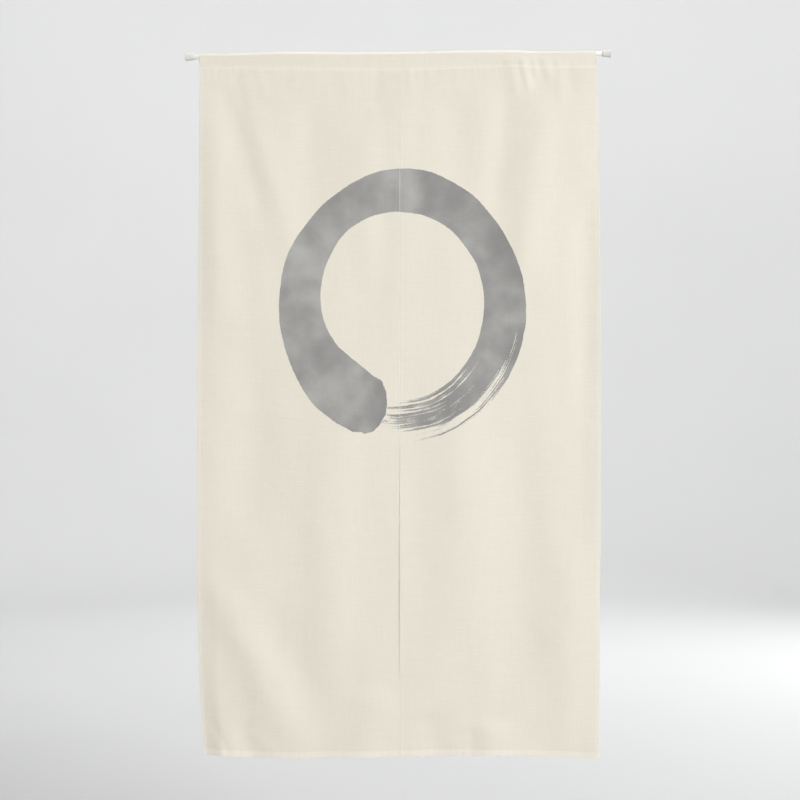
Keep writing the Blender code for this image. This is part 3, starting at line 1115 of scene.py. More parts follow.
@dataclass(frozen=True)
class EnamelFinish:
    """White enamel on a steel tube, with faint marks where the tubes slide and turn."""

    white: Colour = (0.83, 0.83, 0.81)
    worn: Colour = (0.66, 0.655, 0.63)
    scuffs_along: float = 30.0
    scuffs_round: float = 900.0
    scuff_noise: Noise = Noise(1.0, 3.0)
    scuff: Step = Step(0.62, 0.80)
    scuff_colour: float = 0.35
    scuff_roughness: float = 0.22
    haze: Noise = Noise(60.0, 3.0, 0.20)
    haze_roughness: float = 0.12
    roughness: float = 0.24
    orange_peel: Noise = Noise(420.0, 2.0)
    peel_depth: float = 0.00004

    def material(self) -> bpy.types.Material:
        """Builds the enamel's material.

        Returns:
            The material.
        """
        dye = Dye("white_enamel")
        place = dye.place()
        x, y, z = dye.parts(place)
        drawn_out = dye.vector(x * self.scuffs_along, y * self.scuffs_round, z * self.scuffs_round)
        scuffs = dye.noise(drawn_out, self.scuff_noise).step(self.scuff)
        haze = dye.noise(place, self.haze)
        wear = scuffs * self.scuff_colour + (haze - 0.5) * self.haze.share
        dye.colour(dye.mix(wear, self.white, self.worn))
        dye.roughness(scuffs * self.scuff_roughness + haze * self.haze_roughness + self.roughness)
        dye.bump(dye.noise(place, self.orange_peel), distance=self.peel_depth, strength=0.35)
        dye.set(Coat_Weight=0.25, Coat_Roughness=0.2, Specular_IOR_Level=0.5)
        return dye.material


@dataclass(frozen=True)
class SoftPlasticFinish:
    """Soft white plastic with a moulded grain, greyer in random smudges and at its flat face."""

    clean: Colour = (0.640, 0.630, 0.605)
    grey_tone: Colour = (0.50, 0.48, 0.44)
    grain: Noise = Noise(1500.0, 2.0)
    grain_depth: float = 0.00006
    smudge: Noise = Noise(110.0, 4.0, 0.25)
    smudged: Step = Step(0.50, 0.78, 0.40)
    flat_face: Step = Step(0.4495, 0.4525, 0.35)
    roughness: float = 0.38

    def material(self) -> bpy.types.Material:
        """Builds the plastic's material.

        Returns:
            The material.
        """
        dye = Dye("soft_white_plastic")
        place = dye.place()
        x, _, _ = dye.parts(place)
        smudge = dye.noise(place, self.smudge)
        # greyer at the flat face and in random smudges
        greying = x.size().step(self.flat_face) + smudge.step(self.smudged)
        dye.colour(dye.mix(greying, self.clean, self.grey_tone))
        dye.roughness(smudge * self.smudge.share + self.roughness)
        dye.bump(dye.noise(place, self.grain), distance=self.grain_depth, strength=0.4)
        dye.set(Specular_IOR_Level=0.45, Subsurface_Weight=0.12, Subsurface_Scale=0.004)
        return dye.material


@dataclass(frozen=True)
class FloorFinish:
    """Pale matt paint for the studio floor, a little cloudy."""

    pale: Colour = (0.60, 0.60, 0.60)
    paler: Colour = (0.63, 0.63, 0.63)
    clouds: Noise = Noise(0.8, 2.0)

    def material(self) -> bpy.types.Material:
        """Builds the floor's material.

        Returns:
            The material.
        """
        dye = Dye("pale_floor")
        dye.colour(dye.mix(dye.noise(dye.place(), self.clouds), self.pale, self.paler))
        dye.set(Roughness=0.9, Specular_IOR_Level=0.2)
        return dye.material


def settle(piece: bpy.types.Object, name: str, material: bpy.types.Material, slot: str) -> None:
    """Names a finished piece, dresses it and puts it on the frame.

    Args:
        piece: The piece, in place.
        name: Its name.
        material: Its finish.
        slot: Not used.
    """
    piece.name = name
    piece.data.name = name
    piece.data.materials.clear()
    piece.data.materials.append(material)
    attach(piece, "root")
    log.info("%s: %d faces", name, len(piece.data.polygons))


def mesh_piece(name: str, points: Array, faces: list[Face]) -> bpy.types.Object:
    """Makes a smooth-shaded object of points and faces.

    Args:
        name: The object's name.
        points: The places of its corners, in the order that the faces count them.
        faces: The corners of each face.

    Returns:
        The object.
    """
    mesh = bpy.data.meshes.new(name)
    mesh.from_pydata(points.reshape(-1, 3).tolist(), [], faces)
    mesh.update()
    mesh.shade_smooth()
    piece = bpy.data.objects.new(name, mesh)
    bpy.context.scene.collection.objects.link(piece)
    return piece


@dataclass
class Stitching:
    """Rows of machine stitches, each a short length of thread that dips into the cloth at its ends.

    proud is how far a stitch's middle stands off the cloth, in radii, and swell gives the places of
    its rings along it and the share of the radius that each has.
    """

    pitch: float = 0.0032
    length: float = 0.0025
    radius: float = 0.00020
    dip: float = 0.00040
    proud: float = 0.35
    swell: Curve = ((0.22, 0.85), (0.50, 1.00), (0.78, 0.85))
    sides: int = 5
    starts: list[Array] = field(default_factory=list)
    ends: list[Array] = field(default_factory=list)
    outs: list[Array] = field(default_factory=list)

    def sew(self, line: Array, out: Array) -> None:
        """Sews stitches along a line on the cloth.

        Args:
            line: Points close together along the row, on the cloth's surface.
            out: The surface's outward direction at each of them.
        """
        gone = np.concatenate([[0.0], np.cumsum(np.linalg.norm(np.diff(line, axis=0), axis=1))])
        count = int(gone[-1] // self.pitch)
        first = np.arange(count) * self.pitch + (gone[-1] - count * self.pitch) / 2
        for at, store in ((first, self.starts), (first + self.length, self.ends)):
            store.append(np.stack([np.interp(at, gone, line[:, k]) for k in range(3)], axis=1))
        middle = first + self.length / 2
        self.outs.append(np.stack([np.interp(middle, gone, out[:, k]) for k in range(3)], axis=1))

    def single(self, start: Point, end: Point, out: Point) -> None:
        """Sews one stitch of its own length."""
        for store, value in ((self.starts, start), (self.ends, end), (self.outs, out)):
            store.append(np.array([value], float))

    def build(self, name: str, material: bpy.types.Material) -> bpy.types.Object:
        """Makes all the stitches into one piece.

        Args:
            name: The piece's name.
            material: The thread's finish.

        Returns:
            The piece.
        """
        start, end, out = (np.concatenate(rows) for rows in (self.starts, self.ends, self.outs))
        run = end - start
        length = np.linalg.norm(run, axis=1, keepdims=True)
        run = run / length
        out = out - run * (out * run).sum(1, keepdims=True)
        out = out / np.linalg.norm(out, axis=1, keepdims=True)
        beside = np.cross(run, out)
        points = [start - out * self.dip]
        for share, swell in self.swell:
            middle = start + run * length * share + out * self.radius * self.proud
            for k in range(self.sides):
                turn = 2.0 * math.pi * k / self.sides
                ring = out * math.cos(turn) + beside * math.sin(turn)
                points.append(middle + ring * self.radius * swell)
        points.append(end - out * self.dip)
        points = np.stack(points, axis=1)
        per = points.shape[1]
        top = (len(self.swell) - 1) * self.sides
        faces = []
        for s in range(len(start)):
            base = s * per
            for k in range(self.sides):
                after = (k + 1) % self.sides
                a, b = base + 1 + k, base + 1 + after
                faces.append((base, b, a))
                for low in range(0, top, self.sides):
                    high = low + self.sides
                    faces.append((a + low, b + low, b + high, a + high))
                faces.append((a + top, b + top, base + per - 1))
        piece = mesh_piece(name, points, faces)
        settle(piece, name, material, "cloth")
        return piece


@dataclass
class Panel:
    """One width of the curtain: a closed thin sheet with its hems and its pocket round the rod."""

    name: str
    node: str
    width: Width
    hang: Hang
    puckers: Puckers
    cloth: float = 0.0005
    pocket_gap: float = 0.0003
    # the mesh of the plain cloth, and of the pocket's straight and round parts
    field_columns: int = 100
    field_rows: int = 250
    flank: int = 5
    arc: int = 34
    # the height whose width stands for the flat cloth's
    flat_at: float = -0.550
    # where creases fade out at the rod, and how deep stitches draw the cloth in
    rod_depth: float = 0.0045
    crease_fade: float = 0.010
    pinch: float = 0.00014
    slope_step: float = 0.002
    # how far the pocket and the hems have the paler look of double cloth
    pocket_layers: float = 0.15
    hem_pale: float = 0.40
    slit_pale: float = 0.10
    # the rows of stitches: how far in from the edges they run, and from where to where
    hem_stitch: float = 0.0063
    foot_stitch: float = 0.0122
    foot_at: float = -1.490
    head_at: float = -0.026
    rows_from: float = -0.034
    rows_to: float = -1.489
    row_ends: float = 0.004
    side_points: int = 900
    foot_points: int = 500
    side_lines: tuple[Line, ...] = (
        Line(0.0000, 0.25, 1.0),
        Line(0.0004, 0.80, 1.0),
        Line(0.0011, 1.00, 1.0),
        Line(0.0030, 1.05, 1.0),
        Line(0.0054, 1.00, 1.0),
        Line(0.0063, 1.00, 1.0, 1.0),
        Line(0.0071, 1.00, 1.0),
        Line(0.0078, 0.95, 1.0),
        Line(0.0083, 1.00, 0.0),
        Line(0.0105, 1.00, 0.0),
    )
    foot_lines: tuple[Line, ...] = (
        Line(0.0000, 0.25, 1.0),
        Line(0.0004, 0.80, 1.0),
        Line(0.0011, 1.00, 1.0),
        Line(0.0050, 1.05, 1.0),
        Line(0.0110, 1.00, 1.0),
        Line(0.0122, 1.00, 1.0, 1.0),
        Line(0.0131, 1.00, 1.0),
        Line(0.0138, 0.95, 1.0),
        Line(0.0144, 1.00, 0.0),
        Line(0.0180, 1.00, 0.0),
    )
    head_lines: tuple[Line, ...] = (
        Line(0.0150, 1.00, 0.0),
        Line(0.0110, 1.00, 0.0),
        Line(0.0075, 1.00, 0.0),
        Line(0.0050, 1.00, 0.0),
        Line(0.0036, 1.00, 0.0),
        Line(0.0031, 0.95, 1.0),
        Line(0.0020, 1.00, 1.0),
        Line(0.0010, 1.00, 1.0),
        Line(0.0000, 0.90, 1.0, 1.0),
    )

    def place(self, share: Array, added: Array, z: Array) -> Array:
        """The x of points that lie at a share of the panel's width plus a distance."""
        left, right = sorted(self.hang.edges(self.width, z), key=np.mean)
        return left + (right - left) * share + added

    def lined(self, first: tuple[Line, ...], count: int, last: tuple[Line, ...]) -> list[Array]:
        """The fullness, layers and pinch of lines near two edges and of plain cloth between them.

        Args:
            first: The lines near the first edge.
            count: How many lines of plain cloth there are.
            last: The lines near the last edge.

        Returns:
            The three values of all the lines.
        """
        found = []
        for name, plain in (("full", 1.0), ("double", 0.0), ("pinch", 0.0)):
            ends = [[getattr(line, name) for line in lines] for lines in (first, last)]
            found.append(np.concatenate([ends[0], np.full(count, plain), ends[1]]))
        return found

    def columns(self) -> tuple[Array, Array, Array, Array, Array]:
        """The mesh's columns, from left to right.

        Returns:
            Their share of the width, the distance added, and their fullness, layers and pinch.
        """
        inset = self.side_lines[-1].offset
        share = np.arange(1, self.field_columns) / self.field_columns
        offsets = np.array([line.offset for line in self.side_lines])
        shares = np.concatenate([np.zeros(len(offsets)), share, np.ones(len(offsets))])
        added = np.concatenate([offsets, inset * (1.0 - 2.0 * share), -offsets[::-1]])
        return shares, added, *self.lined(self.side_lines, len(share), self.side_lines[::-1])

    def rows(self, bottom: Array, stitch: Array) -> tuple[Array, Array, Array, Array]:
        """The rows of the hanging cloth, from the bottom edge up to the stitch row.

        Args:
            bottom: The height of the bottom edge in each column.
            stitch: The depth of the stitch row in each column.

        Returns:
            Each row's heights by column, its fullness, its layers and its pinch.
        """
        low = bottom + self.foot_lines[-1].offset
        high = -stitch - self.head_lines[0].offset
        foot = [bottom + line.offset for line in self.foot_lines]
        between = [low + (high - low) * k / self.field_rows for k in range(1, self.field_rows)]
        head = [-stitch - line.offset for line in self.head_lines]
        heights = np.stack(foot + between + head, axis=1)
        return heights, *self.lined(self.foot_lines, len(between), self.head_lines)

    def middle(self, x: Array, z: Array, stitch: Array, bottom: Array) -> Array:
        """The y of the cloth's middle at points of the hanging cloth.

        Args:
            x: Across the curtain.
            z: Down the curtain.
            stitch: The depth of the stitch row in each point's column.
            bottom: The height of the bottom edge there.

        Returns:
            The y of each point.
        """
        outer, inner = self.hang.edges(self.width, z)
        from_side = np.minimum(np.abs(x - outer), np.abs(x - inner))
        below = np.maximum(-stitch - z, 0.0)
        forward = self.hang.forward(self.width, x, z, stitch)
        forward += self.hang.fold_sum(self.hang.creases, x, z)
        forward += self.puckers.relief(x, z, from_side, z - bottom, below)
        return -self.cloth / 2 - forward

    def wall(self, radius: Array, lift: Array, stitch: Array, root: Array) -> tuple[Array, Array]:
        """One side of the pocket's cloth: up the front, over the rod and down the back.

        Args:
            radius: Its radius round the rod in each column.
            lift: How far its loop stands up.
            stitch: The depth of the stitch row.
            root: How far from the middle it starts and ends.

        Returns:
            The y and z of its points, by column.
        """
        radius, lift, stitch, root = (part[:, None] for part in (radius, lift, stitch, root))
        reach = np.arccos(radius / (stitch + lift))
        angle = reach + 2.0 * (np.pi - reach) * np.arange(self.arc + 1) / self.arc
        arc_y, arc_z = -radius * np.sin(angle), lift - radius * np.cos(angle)
        step = np.arange(1, self.flank) / self.flank
        rise_y = -root + (arc_y[:, :1] + root) * step
        rise_z = -stitch + (arc_z[:, :1] + stitch) * step
        fall_y, fall_z = rise_y[:, ::-1] * -1.0, rise_z[:, ::-1]
        y = np.concatenate([-root, rise_y, arc_y, fall_y, root], axis=1)
        z = np.concatenate([-stitch, rise_z, arc_z, fall_z, -stitch], axis=1)
        return y, z

    def pocket(
        self, share: Array, added: Array, full: Array, stitch: Array
    ) -> tuple[Array, Array, Array]:
        """The pocket's outer and inner points.

        Args:
            share: The columns' share of the width.
            added: The distance added.
            full: Their fullness.
            stitch: The depth of the stitch row in each.

        Returns:
            The outer and inner points by column, and how far each lies up the cloth from the row.
        """
        x = self.place(share, added, -stitch)
        slack = read(self.hang.heading, "x", "slack", x)
        lift = read(self.hang.heading, "x", "lift", x)
        inside = self.hang.tube_inside(x) + self.pocket_gap + slack + self.puckers.waver(x)
        thin = self.cloth * (1.0 - full) / 2
        flat = np.zeros(len(x))
        outer_y, outer_z = self.wall(inside + self.cloth - thin, lift, stitch, flat + self.cloth)
        inner_y, inner_z = self.wall(inside + thin, lift, stitch, flat)
        steps = np.hypot(np.diff(outer_y, axis=1), np.diff(outer_z, axis=1))
        path = np.concatenate([flat[:, None], np.cumsum(steps, axis=1)], axis=1)
        rings = []
        for y, z in ((outer_y, outer_z), (inner_y, inner_z)):
            across = self.place(share[:, None], added[:, None], z)
            above = z + stitch[:, None]
            before = soft((-z - self.rod_depth) / self.crease_fade)
            behind = 1.0 - soft(above / self.crease_fade)
            creased = self.hang.fold_sum(self.hang.creases, across, z)
            creased = creased * np.where(y > 0.0, behind, before)
            tucked = self.puckers.tucks(across, above) * before * (y < 0.0)
            rings.append(np.stack([across, y - creased - tucked, z], axis=2))
        half = path[:, -1:] / 2
        return rings[0][:, 1:-1], rings[1][:, :-1], half - np.abs(path - half)

    def faces(self, columns: int, tail: int, rim: int, hole: int) -> list[Face]:
        """The sheet's faces.

        Args:
            columns: How many columns there are.
            tail: How many points the hanging cloth has on each face in a column.
            rim: How many points a column's outline has.
            hole: How many points its pocket's opening has.

        Returns:
            The corners of each face.
        """
        per = rim + hole
        found = []
        for c in range(columns - 1):
            here, there = c * per, (c + 1) * per
            for k in range(rim):
                after = (k + 1) % rim
                found.append((here + k, there + k, there + after, here + after))
            for k in range(hole):
                after = (k + 1) % hole
                found.append(
                    (here + rim + k, here + rim + after, there + rim + after, there + rim + k)
                )
        front, back = tail - 1, rim - tail
        for base, turn in ((0, 1), ((columns - 1) * per, -1)):
            ends = [(k, k + 1, rim - k - 2, rim - k - 1) for k in range(front)]
            ends.append((front, rim, back))
            for k in range(hole):
                after = (k + 1) % hole
                ends.append((front + k, front + k + 1, rim + after, rim + k))
            found += [tuple(base + corner for corner in face)[::turn] for face in ends]
        return found

    def build(self, material: bpy.types.Material) -> bpy.types.Object:
        """Makes the sheet and stores on it where each point lies on the flat cloth.

        Args:
            material: The cloth's finish.

        Returns:
            The piece.
        """
        share, added, full, double, pinch = self.columns()
        top_x = self.place(share, added, -self.hang.heading[0].stitch)
        stitch = read(self.hang.heading, "x", "stitch", top_x)
        bottom = read(self.hang.bottoms, "x", "z", self.place(share, added, self.foot_at))
        z, row_full, row_double, row_pinch = self.rows(bottom, stitch)
        x = self.place(share[:, None], added[:, None], z)
        y = self.middle(x, z, stitch[:, None], bottom[:, None])
        half = self.cloth / 2 * np.minimum(full[:, None], row_full[None, :])
        drawn = self.pinch * np.maximum(pinch[:, None], row_pinch[None, :])
        layers = np.maximum(double[:, None], row_double[None, :])
        front = np.stack([x, y - half + drawn, z], axis=2)
        back = np.stack([x, y + half - drawn + layers * self.cloth, z], axis=2)
        creased = self.hang.fold_sum(self.hang.creases, x[:, -1], z[:, -1])
        front[:, -1, 1], back[:, -1, 1] = -self.cloth - creased, self.cloth - creased
        outer, inner, climb = self.pocket(share, added, full, stitch)
        points = np.concatenate([front, outer, back[:, ::-1], inner], axis=1)

        rim = front.shape[1] * 2 + outer.shape[1]
        faces = self.faces(len(share), front.shape[1], rim, inner.shape[1])
        piece = mesh_piece(self.name, points, faces)

        u = self.place(share, added, self.flat_at)[:, None]
        pocket_v = climb - stitch[:, None]
        v = np.concatenate([z, pocket_v[:, 1:-1], z[:, ::-1], pocket_v[:, :-1]], axis=1)
        behind = np.zeros(v.shape)
        behind[:, front.shape[1] + outer.shape[1] // 2 :] = 1.0
        held = np.full(outer.shape[:2], self.pocket_layers)
        at_slit = (share > 0.5) == (self.width is Width.LEFT)
        hem = double * np.where(at_slit, self.slit_pale, self.hem_pale)
        pale = np.maximum(hem[:, None], row_double[None, :])
        doubled = np.concatenate([pale, held, pale[:, ::-1], np.zeros(inner.shape[:2])], axis=1)
        flat = np.stack([np.broadcast_to(u, v.shape), v, behind], axis=2)
        for name, kind, key, values in (
            ("flat_place", "FLOAT_VECTOR", "vector", flat),
            ("layers", "FLOAT", "value", doubled),
        ):
            stored = piece.data.attributes.new(name, kind, "POINT")
            stored.data.foreach_set(key, values.ravel().astype(np.float32))
        settle(piece, self.name, material, "cloth")
        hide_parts(self.node)
        return piece

    def row_line(self, share: Array, added: Array, z: Array, layer: Layer) -> tuple[Array, Array]:
        """A line over the double cloth of a hem, for stitches.

        Args:
            share: The points' share of the width.
            added: The distance added.
            z: Their heights.
            layer: The side of the cloth they are on.

        Returns:
            The points, and the surface's outward direction at each.
        """
        x = self.place(share, added, z)
        stitch = read(self.hang.heading, "x", "stitch", x)
        bottom = read(self.hang.bottoms, "x", "z", x)
        # at the back a turned hem adds a layer
        depth = self.cloth / 2 if layer is Layer.FACE else self.cloth * 1.5
        y = self.middle(x, z, stitch, bottom) + layer.value * (depth - self.pinch)
        step = self.slope_step
        slopes = []
        for dx, dz in ((step, 0.0), (0.0, step)):
            ahead = self.middle(x + dx, z + dz, stitch, bottom)
            slopes.append(self.middle(x - dx, z - dz, stitch, bottom) - ahead)
        out = np.stack([slopes[0], np.full(len(x), 2.0 * step), slopes[1]], axis=1) * layer.value
        out /= np.linalg.norm(out, axis=1, keepdims=True)
        return np.stack([x, y, z], axis=1), out

    def stitch_rows(self, stitching: Stitching) -> None:
        """Sews the panel's pocket and hems, as they show on both faces.

        Args:
            stitching: What the rows are added to.
        """
        down = np.linspace(self.rows_from, self.rows_to, self.side_points)
        across = np.linspace(self.row_ends, 1.0 - self.row_ends, self.foot_points)
        none = np.zeros(len(across))
        x = self.place(across, none, self.head_at)
        foot = read(self.hang.bottoms, "x", "z", self.place(across, none, self.foot_at))
        head = -read(self.hang.heading, "x", "stitch", x)
        for layer in Layer:
            for share, added in ((0.0, self.hem_stitch), (1.0, -self.hem_stitch)):
                edge, inset = np.full(len(down), share), np.full(len(down), added)
                stitching.sew(*self.row_line(edge, inset, down, layer))
            stitching.sew(*self.row_line(across, none, foot + self.foot_stitch, layer))
            row_x = self.place(across, none, head)
            y = layer.value * self.cloth - self.hang.fold_sum(self.hang.creases, row_x, head)
            out = np.tile([0.0, layer.value, 0.0], (len(across), 1))
            stitching.sew(np.stack([row_x, y, head], axis=1), out)


@dataclass
class Curtain:
    """The two panels, their thread and the tack that holds the head of the slit."""

    hang: Hang = Hang()
    puckers: Puckers = Puckers()
    cloth_finish: ClothFinish = ClothFinish()
    thread_finish: ThreadFinish = ThreadFinish()
    cut_width: float = 0.455
    cut_length: float = 1.575
    tack_width: float = 0.0058
    tack_rows: int = 9
    tack_pitch: float = 0.00042
    tack_above: float = 0.0012
    tack_beside: float = 0.001
    tack_radius: float = 0.00022
    tack_dip: float = 0.0007
    tack_uneven: float = 0.0004
    tack_turn: float = 2.4

    def panel(self, width: Width) -> Panel:
        """The panel of a width of cloth."""
        name = width.value
        return Panel(f"cloth_{name}", f"panel_{name}", width, self.hang, self.puckers)

    def tack(self, thread: bpy.types.Material) -> None:
        """Sews the bar of close stitches across the head of the slit.

        Args:
            thread: The thread's finish.
        """
        bar = Stitching(radius=self.tack_radius, dip=self.tack_dip)
        panel = self.panel(Width.LEFT)
        x = self.hang.slit_x
        beside = np.array([x - self.tack_beside])
        stitch = read(self.hang.heading, "x", "stitch", beside)
        bottom = read(self.hang.bottoms, "x", "z", beside)
        for k in range(self.tack_rows):
            z = self.hang.slit_head + self.tack_above + k * self.tack_pitch
            surface = panel.middle(beside, np.array([z]), stitch, bottom)[0] - panel.cloth / 2
            middle = x + self.tack_uneven * math.sin(k * self.tack_turn)
            left, right = middle - self.tack_width / 2, middle + self.tack_width / 2
            tilt = self.tack_pitch * (0.5 if k % 2 else -0.5)
            bar.single((left, surface, z - tilt), (right, surface, z + tilt), (0.0, -1.0, 0.0))
        bar.build("slit_tack", thread)

    def build(self) -> None:
        cloth = self.cloth_finish.material()
        thread = self.thread_finish.material()
        for width in Width:
            panel = self.panel(width)
            sheet = panel.build(cloth)
            stitching = Stitching()
            panel.stitch_rows(stitching)
            rows = stitching.build(f"thread_{width.value}", thread)
        self.tack(thread)


def deselect() -> None:
    """Leaves nothing selected."""
    bpy.ops.object.select_all(action="DESELECT")


def apply_all(piece: bpy.types.Object) -> None:
    """Applies a piece's modifiers and its place, and shades it.

    Args:
        piece: The piece.
    """
    deselect()
    bpy.context.view_layer.objects.active = piece
    piece.select_set(True)
    for name in [modifier.name for modifier in piece.modifiers]:
        bpy.ops.object.modifier_apply(modifier=name)
    bpy.ops.object.transform_apply(location=True, rotation=True, scale=True)
    bpy.ops.object.shade_smooth_by_angle(angle=SMOOTH_UP_TO)
    piece.select_set(False)


@dataclass
class Tube:
    """One of the rod's two tubes."""

    name: str
    node: str
    start: float
    end: float
    radius: float
    wall: float
    sides: int = 72
    rim: float = 0.00018
    rim_steps: int = 2
    rim_angle: float = math.radians(50)

    def build(self, material: bpy.types.Material) -> None:
        """Models the tube from an open cylinder.

        Args:
            material: Its finish.
        """
        deselect()
        bpy.ops.mesh.primitive_cylinder_add(
            vertices=self.sides,
            radius=self.radius,
            depth=self.end - self.start,
            end_fill_type="NOTHING",
            location=((self.start + self.end) / 2, 0.0, 0.0),
            rotation=(0.0, math.pi / 2, 0.0),
        )
        tube = bpy.context.object
        wall = tube.modifiers.new("wall", "SOLIDIFY")
        wall.thickness = self.wall
        wall.offset = -1.0
        rim = tube.modifiers.new("rim", "BEVEL")
        rim.width = self.rim
        rim.segments = self.rim_steps
        rim.angle_limit = self.rim_angle
        apply_all(tube)
        settle(tube, self.name, material, "tube")
        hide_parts(self.node)


class Turn(NamedTuple):
    """A ring of a foot: its distance in from the flat face, and its radius."""

    inward: float
    radius: float


@dataclass
class Foot:
    """A soft foot over the end of a tube, flared to a flat face."""

    name: str
    node: str
    side: float
    face: float
    floor: float
    bore: float
    mouth: float
    flare: float
    length: float
    sides: int = 64
    lip: float = 0.0004
    mouth_drop: float = 0.0005
    mouth_round: float = 0.0008
    # shares of the length, and of the way from the mouth to the flare
    neck: Curve = ((0.72, 0.10), (0.48, 0.38), (0.28, 0.74))
    # the bead round the flat face, by shares of its size
    bead: float = 0.0011
    bead_at: tuple[float, float, float] = (2.2, 1.7, 0.6)
    bead_round: float = 0.7
    # the shallow groove in the flat face: its depth, and its place as a share of the flare
    groove: Curve = ((0.0, 0.62), (0.0005, 0.58), (0.0005, 0.50), (0.0, 0.46))
    edge: float = 0.00035
    edge_steps: int = 2
    edge_angle: float = math.radians(32)

    def turns(self) -> list[Turn]:
        """The foot's rings, from the floor of its bore out over the mouth to the flat face.

        Returns:
            The rings in order.
        """
        spread = self.flare - self.mouth
        behind, back, front = (self.bead * share for share in self.bead_at)
        return [
            Turn(self.floor, self.bore),
            Turn(self.length - self.lip, self.bore),
            Turn(self.length, self.bore + self.lip),
            Turn(self.length, self.mouth - self.mouth_drop),
            Turn(self.length - self.mouth_round, self.mouth),
            *(Turn(self.length * at, self.mouth + spread * out) for at, out in self.neck),
            Turn(behind, self.flare - self.lip),
            Turn(back, self.flare),
            Turn(front, self.flare),
            Turn(0.0, self.flare - self.bead * self.bead_round),
            *(Turn(depth, self.flare * share) for depth, share in self.groove),
        ]

    def build(self, material: bpy.types.Material) -> None:
        """Models the foot ring by ring from a circle.

        Args:
            material: Its finish.
        """
        turns = self.turns()
        here = self.face - self.side * turns[0].inward
        deselect()
        bpy.ops.mesh.primitive_circle_add(
            vertices=self.sides,
            radius=turns[0].radius,
            location=(here, 0.0, 0.0),
            rotation=(0.0, math.pi / 2, 0.0),
        )
        foot = bpy.context.object
        bpy.ops.object.mode_set(mode="EDIT")
        bpy.ops.mesh.select_all(action="SELECT")
        for before, after in zip(turns, turns[1:]):
            step = self.side * (before.inward - after.inward)
            here += step
            scale = after.radius / before.radius
            bpy.ops.mesh.extrude_region_move(TRANSFORM_OT_translate={"value": (step, 0.0, 0.0)})
            bpy.ops.transform.resize(value=(1.0, scale, scale), center_override=(here, 0.0, 0.0))
        bpy.ops.mesh.select_all(action="SELECT")
        bpy.ops.mesh.fill_holes(sides=0)
        bpy.ops.mesh.select_all(action="SELECT")
        bpy.ops.mesh.normals_make_consistent(inside=False)
        bpy.ops.object.mode_set(mode="OBJECT")
        edge = foot.modifiers.new("edge", "BEVEL")
        edge.width = self.edge
        edge.segments = self.edge_steps
        edge.angle_limit = self.edge_angle
        apply_all(foot)
        settle(foot, self.name, material, "cap")
        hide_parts(self.node)


@dataclass
class Rod:
    """The telescopic tension rod with its feet."""

    half_span: float = 0.452
    touch: float = 0.0003
    floor: float = 0.005
    thick_end: float = 0.247
    thin_start: float = -0.210
    # the tubes' walls as in the solids, so that the thin tube runs free inside the thick one
    thick_wall: float = 0.0009
    thin_wall: float = 0.0006
    hang: Hang = Hang()
    enamel: EnamelFinish = EnamelFinish()
    plastic: SoftPlasticFinish = SoftPlasticFinish()

    def build(self) -> None:
        """Builds the tubes and the feet."""
        enamel, plastic = self.enamel.material(), self.plastic.material()
        reach = self.half_span - self.floor - self.touch
        thick, thin = self.hang.thick_tube, self.hang.thin_tube
        Tube(
            name="tube_thick",
            node="rod_outer_tube",
            start=-reach,
            end=self.thick_end,
            radius=thick,
            wall=self.thick_wall,
        ).build(enamel)
        Tube(
            name="tube_thin",
            node="rod_inner_tube",
            start=self.thin_start,
            end=reach,
            radius=thin,
            wall=self.thin_wall,
        ).build(enamel)
        Foot(
            name="foot_left",
            node="end_cap_left",
            side=-1.0,
            face=-self.half_span,
            floor=self.floor,
            bore=thick + self.touch,
            mouth=0.0070,
            flare=0.0085,
            length=0.0190,
        ).build(plastic)
        Foot(
            name="foot_right",
            node="end_cap_right",
            side=1.0,
            face=self.half_span,
            floor=self.floor,
            bore=thin + self.touch,
            mouth=0.0066,
            flare=0.0080,
            length=0.0180,
        ).build(plastic)


@dataclass(frozen=True)
class Lamp:
    """A soft rectangular lamp aimed at a point."""

    name: str
    at: Point
    aim: Point
    size: tuple[float, float]
    power: float
    colour: Colour = (1.0, 1.0, 1.0)

    def build(self) -> None:
        """Hangs the lamp."""
        light = bpy.data.lights.new(self.name, "AREA")
        light.shape = "RECTANGLE"
        light.size, light.size_y = self.size
        light.energy = self.power
        light.color = self.colour
        lamp = bpy.data.objects.new(self.name, light)
        lamp.location = self.at
        toward = Vector(self.aim) - Vector(self.at)
        lamp.rotation_euler = toward.to_track_quat("-Z", "Y").to_euler()
        lamp.visible_camera = False
        bpy.context.scene.collection.objects.link(lamp)


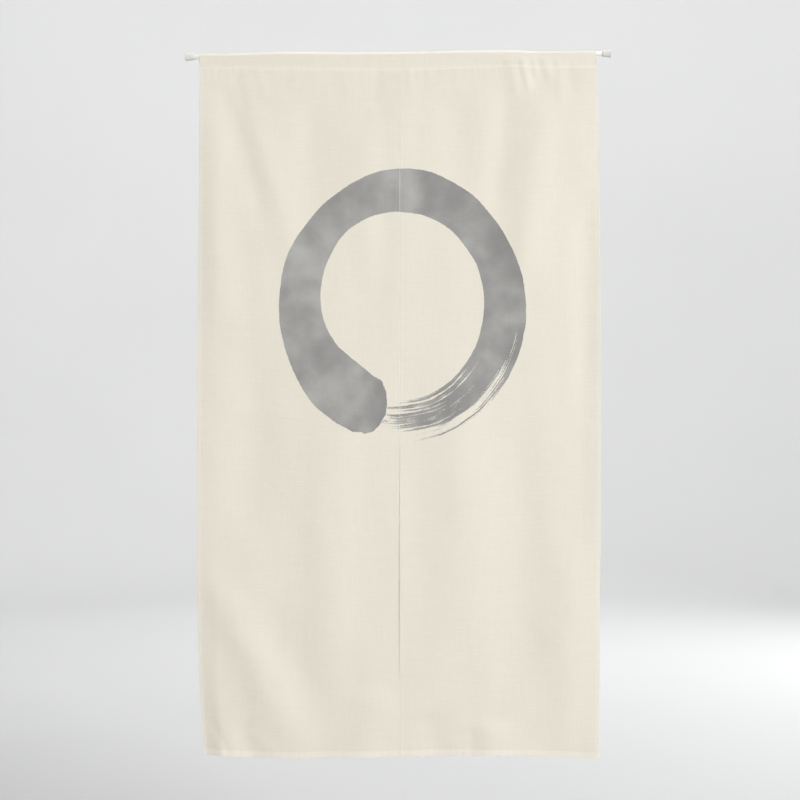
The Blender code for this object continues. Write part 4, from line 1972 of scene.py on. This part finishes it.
@dataclass
class Studio:
    """A pale round floor that sweeps up all round, soft lamps and a level camera."""

    floor_z: float = -1.86
    floor_radius: float = 8.0
    floor_sides: int = 128
    sweep: float = 2.6
    sweep_steps: int = 24
    sweep_angle: float = math.radians(60)
    height: float = 5.0
    distance: float = 3.2
    turn: float = math.radians(2.03)
    aim: Point = (0.0060, 0.0, -0.7326)
    frame_width: float = 1.700
    sensor: float = 36.0
    finish: FloorFinish = FloorFinish()
    lamps: tuple[Lamp, ...] = (
        Lamp(
            name="key",
            at=(4.5, -3.8, 1.1),
            aim=(0.0, 0.0, -0.50),
            size=(2.4, 2.6),
            power=213.0,
            colour=(0.98, 0.99, 1.0),
        ),
        Lamp(
            name="fill",
            at=(-1.8, -5.6, -0.1),
            aim=(-0.1, 0.0, -1.20),
            size=(2.4, 2.0),
            power=101.0,
            colour=(1.0, 0.955, 0.86),
        ),
        Lamp(name="head", at=(0.0, 0.10, 1.20), aim=(0.0, 0.0, 0.0), size=(1.6, 0.5), power=14.0),
        Lamp(name="behind", at=(3.4, 3.4, 0.2), aim=(0.0, 0.0, -0.70), size=(2.0, 2.4), power=84.0),
        Lamp(
            name="backdrop_far",
            at=(0.0, 2.6, 3.3),
            aim=(0.0, 8.0, -1.0),
            size=(6.0, 1.6),
            power=280.0,
        ),
        Lamp(
            name="backdrop_near",
            at=(0.0, -2.6, 3.3),
            aim=(0.0, -8.0, -1.0),
            size=(6.0, 1.6),
            power=90.0,
        ),
    )
    sky: Colour = (0.95, 0.97, 1.0)
    sky_strength: float = 0.34

    def floor(self) -> None:
        """Lays the floor as a disc and sweeps its rim up into a backdrop."""
        deselect()
        bpy.ops.mesh.primitive_circle_add(
            vertices=self.floor_sides,
            radius=self.floor_radius,
            fill_type="NGON",
            location=(0.0, 0.0, self.floor_z),
        )
        floor = bpy.context.object
        floor.name = "floor"
        bpy.ops.object.mode_set(mode="EDIT")
        bpy.ops.mesh.select_mode(type="EDGE")
        bpy.ops.mesh.select_all(action="SELECT")
        bpy.ops.mesh.region_to_loop()
        bpy.ops.mesh.extrude_edges_move(TRANSFORM_OT_translate={"value": (0.0, 0.0, self.height)})
        bpy.ops.mesh.select_all(action="SELECT")
        bpy.ops.mesh.normals_make_consistent(inside=True)
        bpy.ops.object.mode_set(mode="OBJECT")
        sweep = floor.modifiers.new("sweep", "BEVEL")
        sweep.width = self.sweep
        sweep.segments = self.sweep_steps
        sweep.angle_limit = self.sweep_angle
        apply_all(floor)
        floor.data.materials.append(self.finish.material())

    def camera(self) -> None:
        """Sets up the camera at the photograph's angle and framing."""
        lens = bpy.data.cameras.new("camera")
        lens.sensor_width = self.sensor
        lens.lens = self.sensor * self.distance / self.frame_width
        camera = bpy.data.objects.new("camera", lens)
        aim = Vector(self.aim)
        offset = Vector((math.sin(self.turn), -math.cos(self.turn), 0.0)) * self.distance
        camera.location = aim + offset
        camera.rotation_euler = (-offset).to_track_quat("-Z", "Y").to_euler()
        bpy.context.scene.collection.objects.link(camera)
        bpy.context.scene.camera = camera

    def sky_light(self) -> None:
        """Fills the room with even soft light."""
        world = bpy.data.worlds.new("studio")
        world.use_nodes = True
        background = world.node_tree.nodes["Background"]
        background.inputs["Color"].default_value = (*self.sky, 1.0)
        background.inputs["Strength"].default_value = self.sky_strength
        bpy.context.scene.world = world

    def build(self) -> None:
        """Builds the studio."""
        self.camera()
        self.floor()
        self.sky_light()
        for lamp in self.lamps:
            lamp.build()
        bpy.context.scene.view_settings.view_transform = "Standard"


def main() -> None:
    """Builds the studio, the rod and the curtain."""
    logging.basicConfig(level=logging.INFO, format="%(name)s: %(message)s")
    Studio().build()
    Rod().build()
    Curtain().build()


if __name__ == "__main__":
    main()
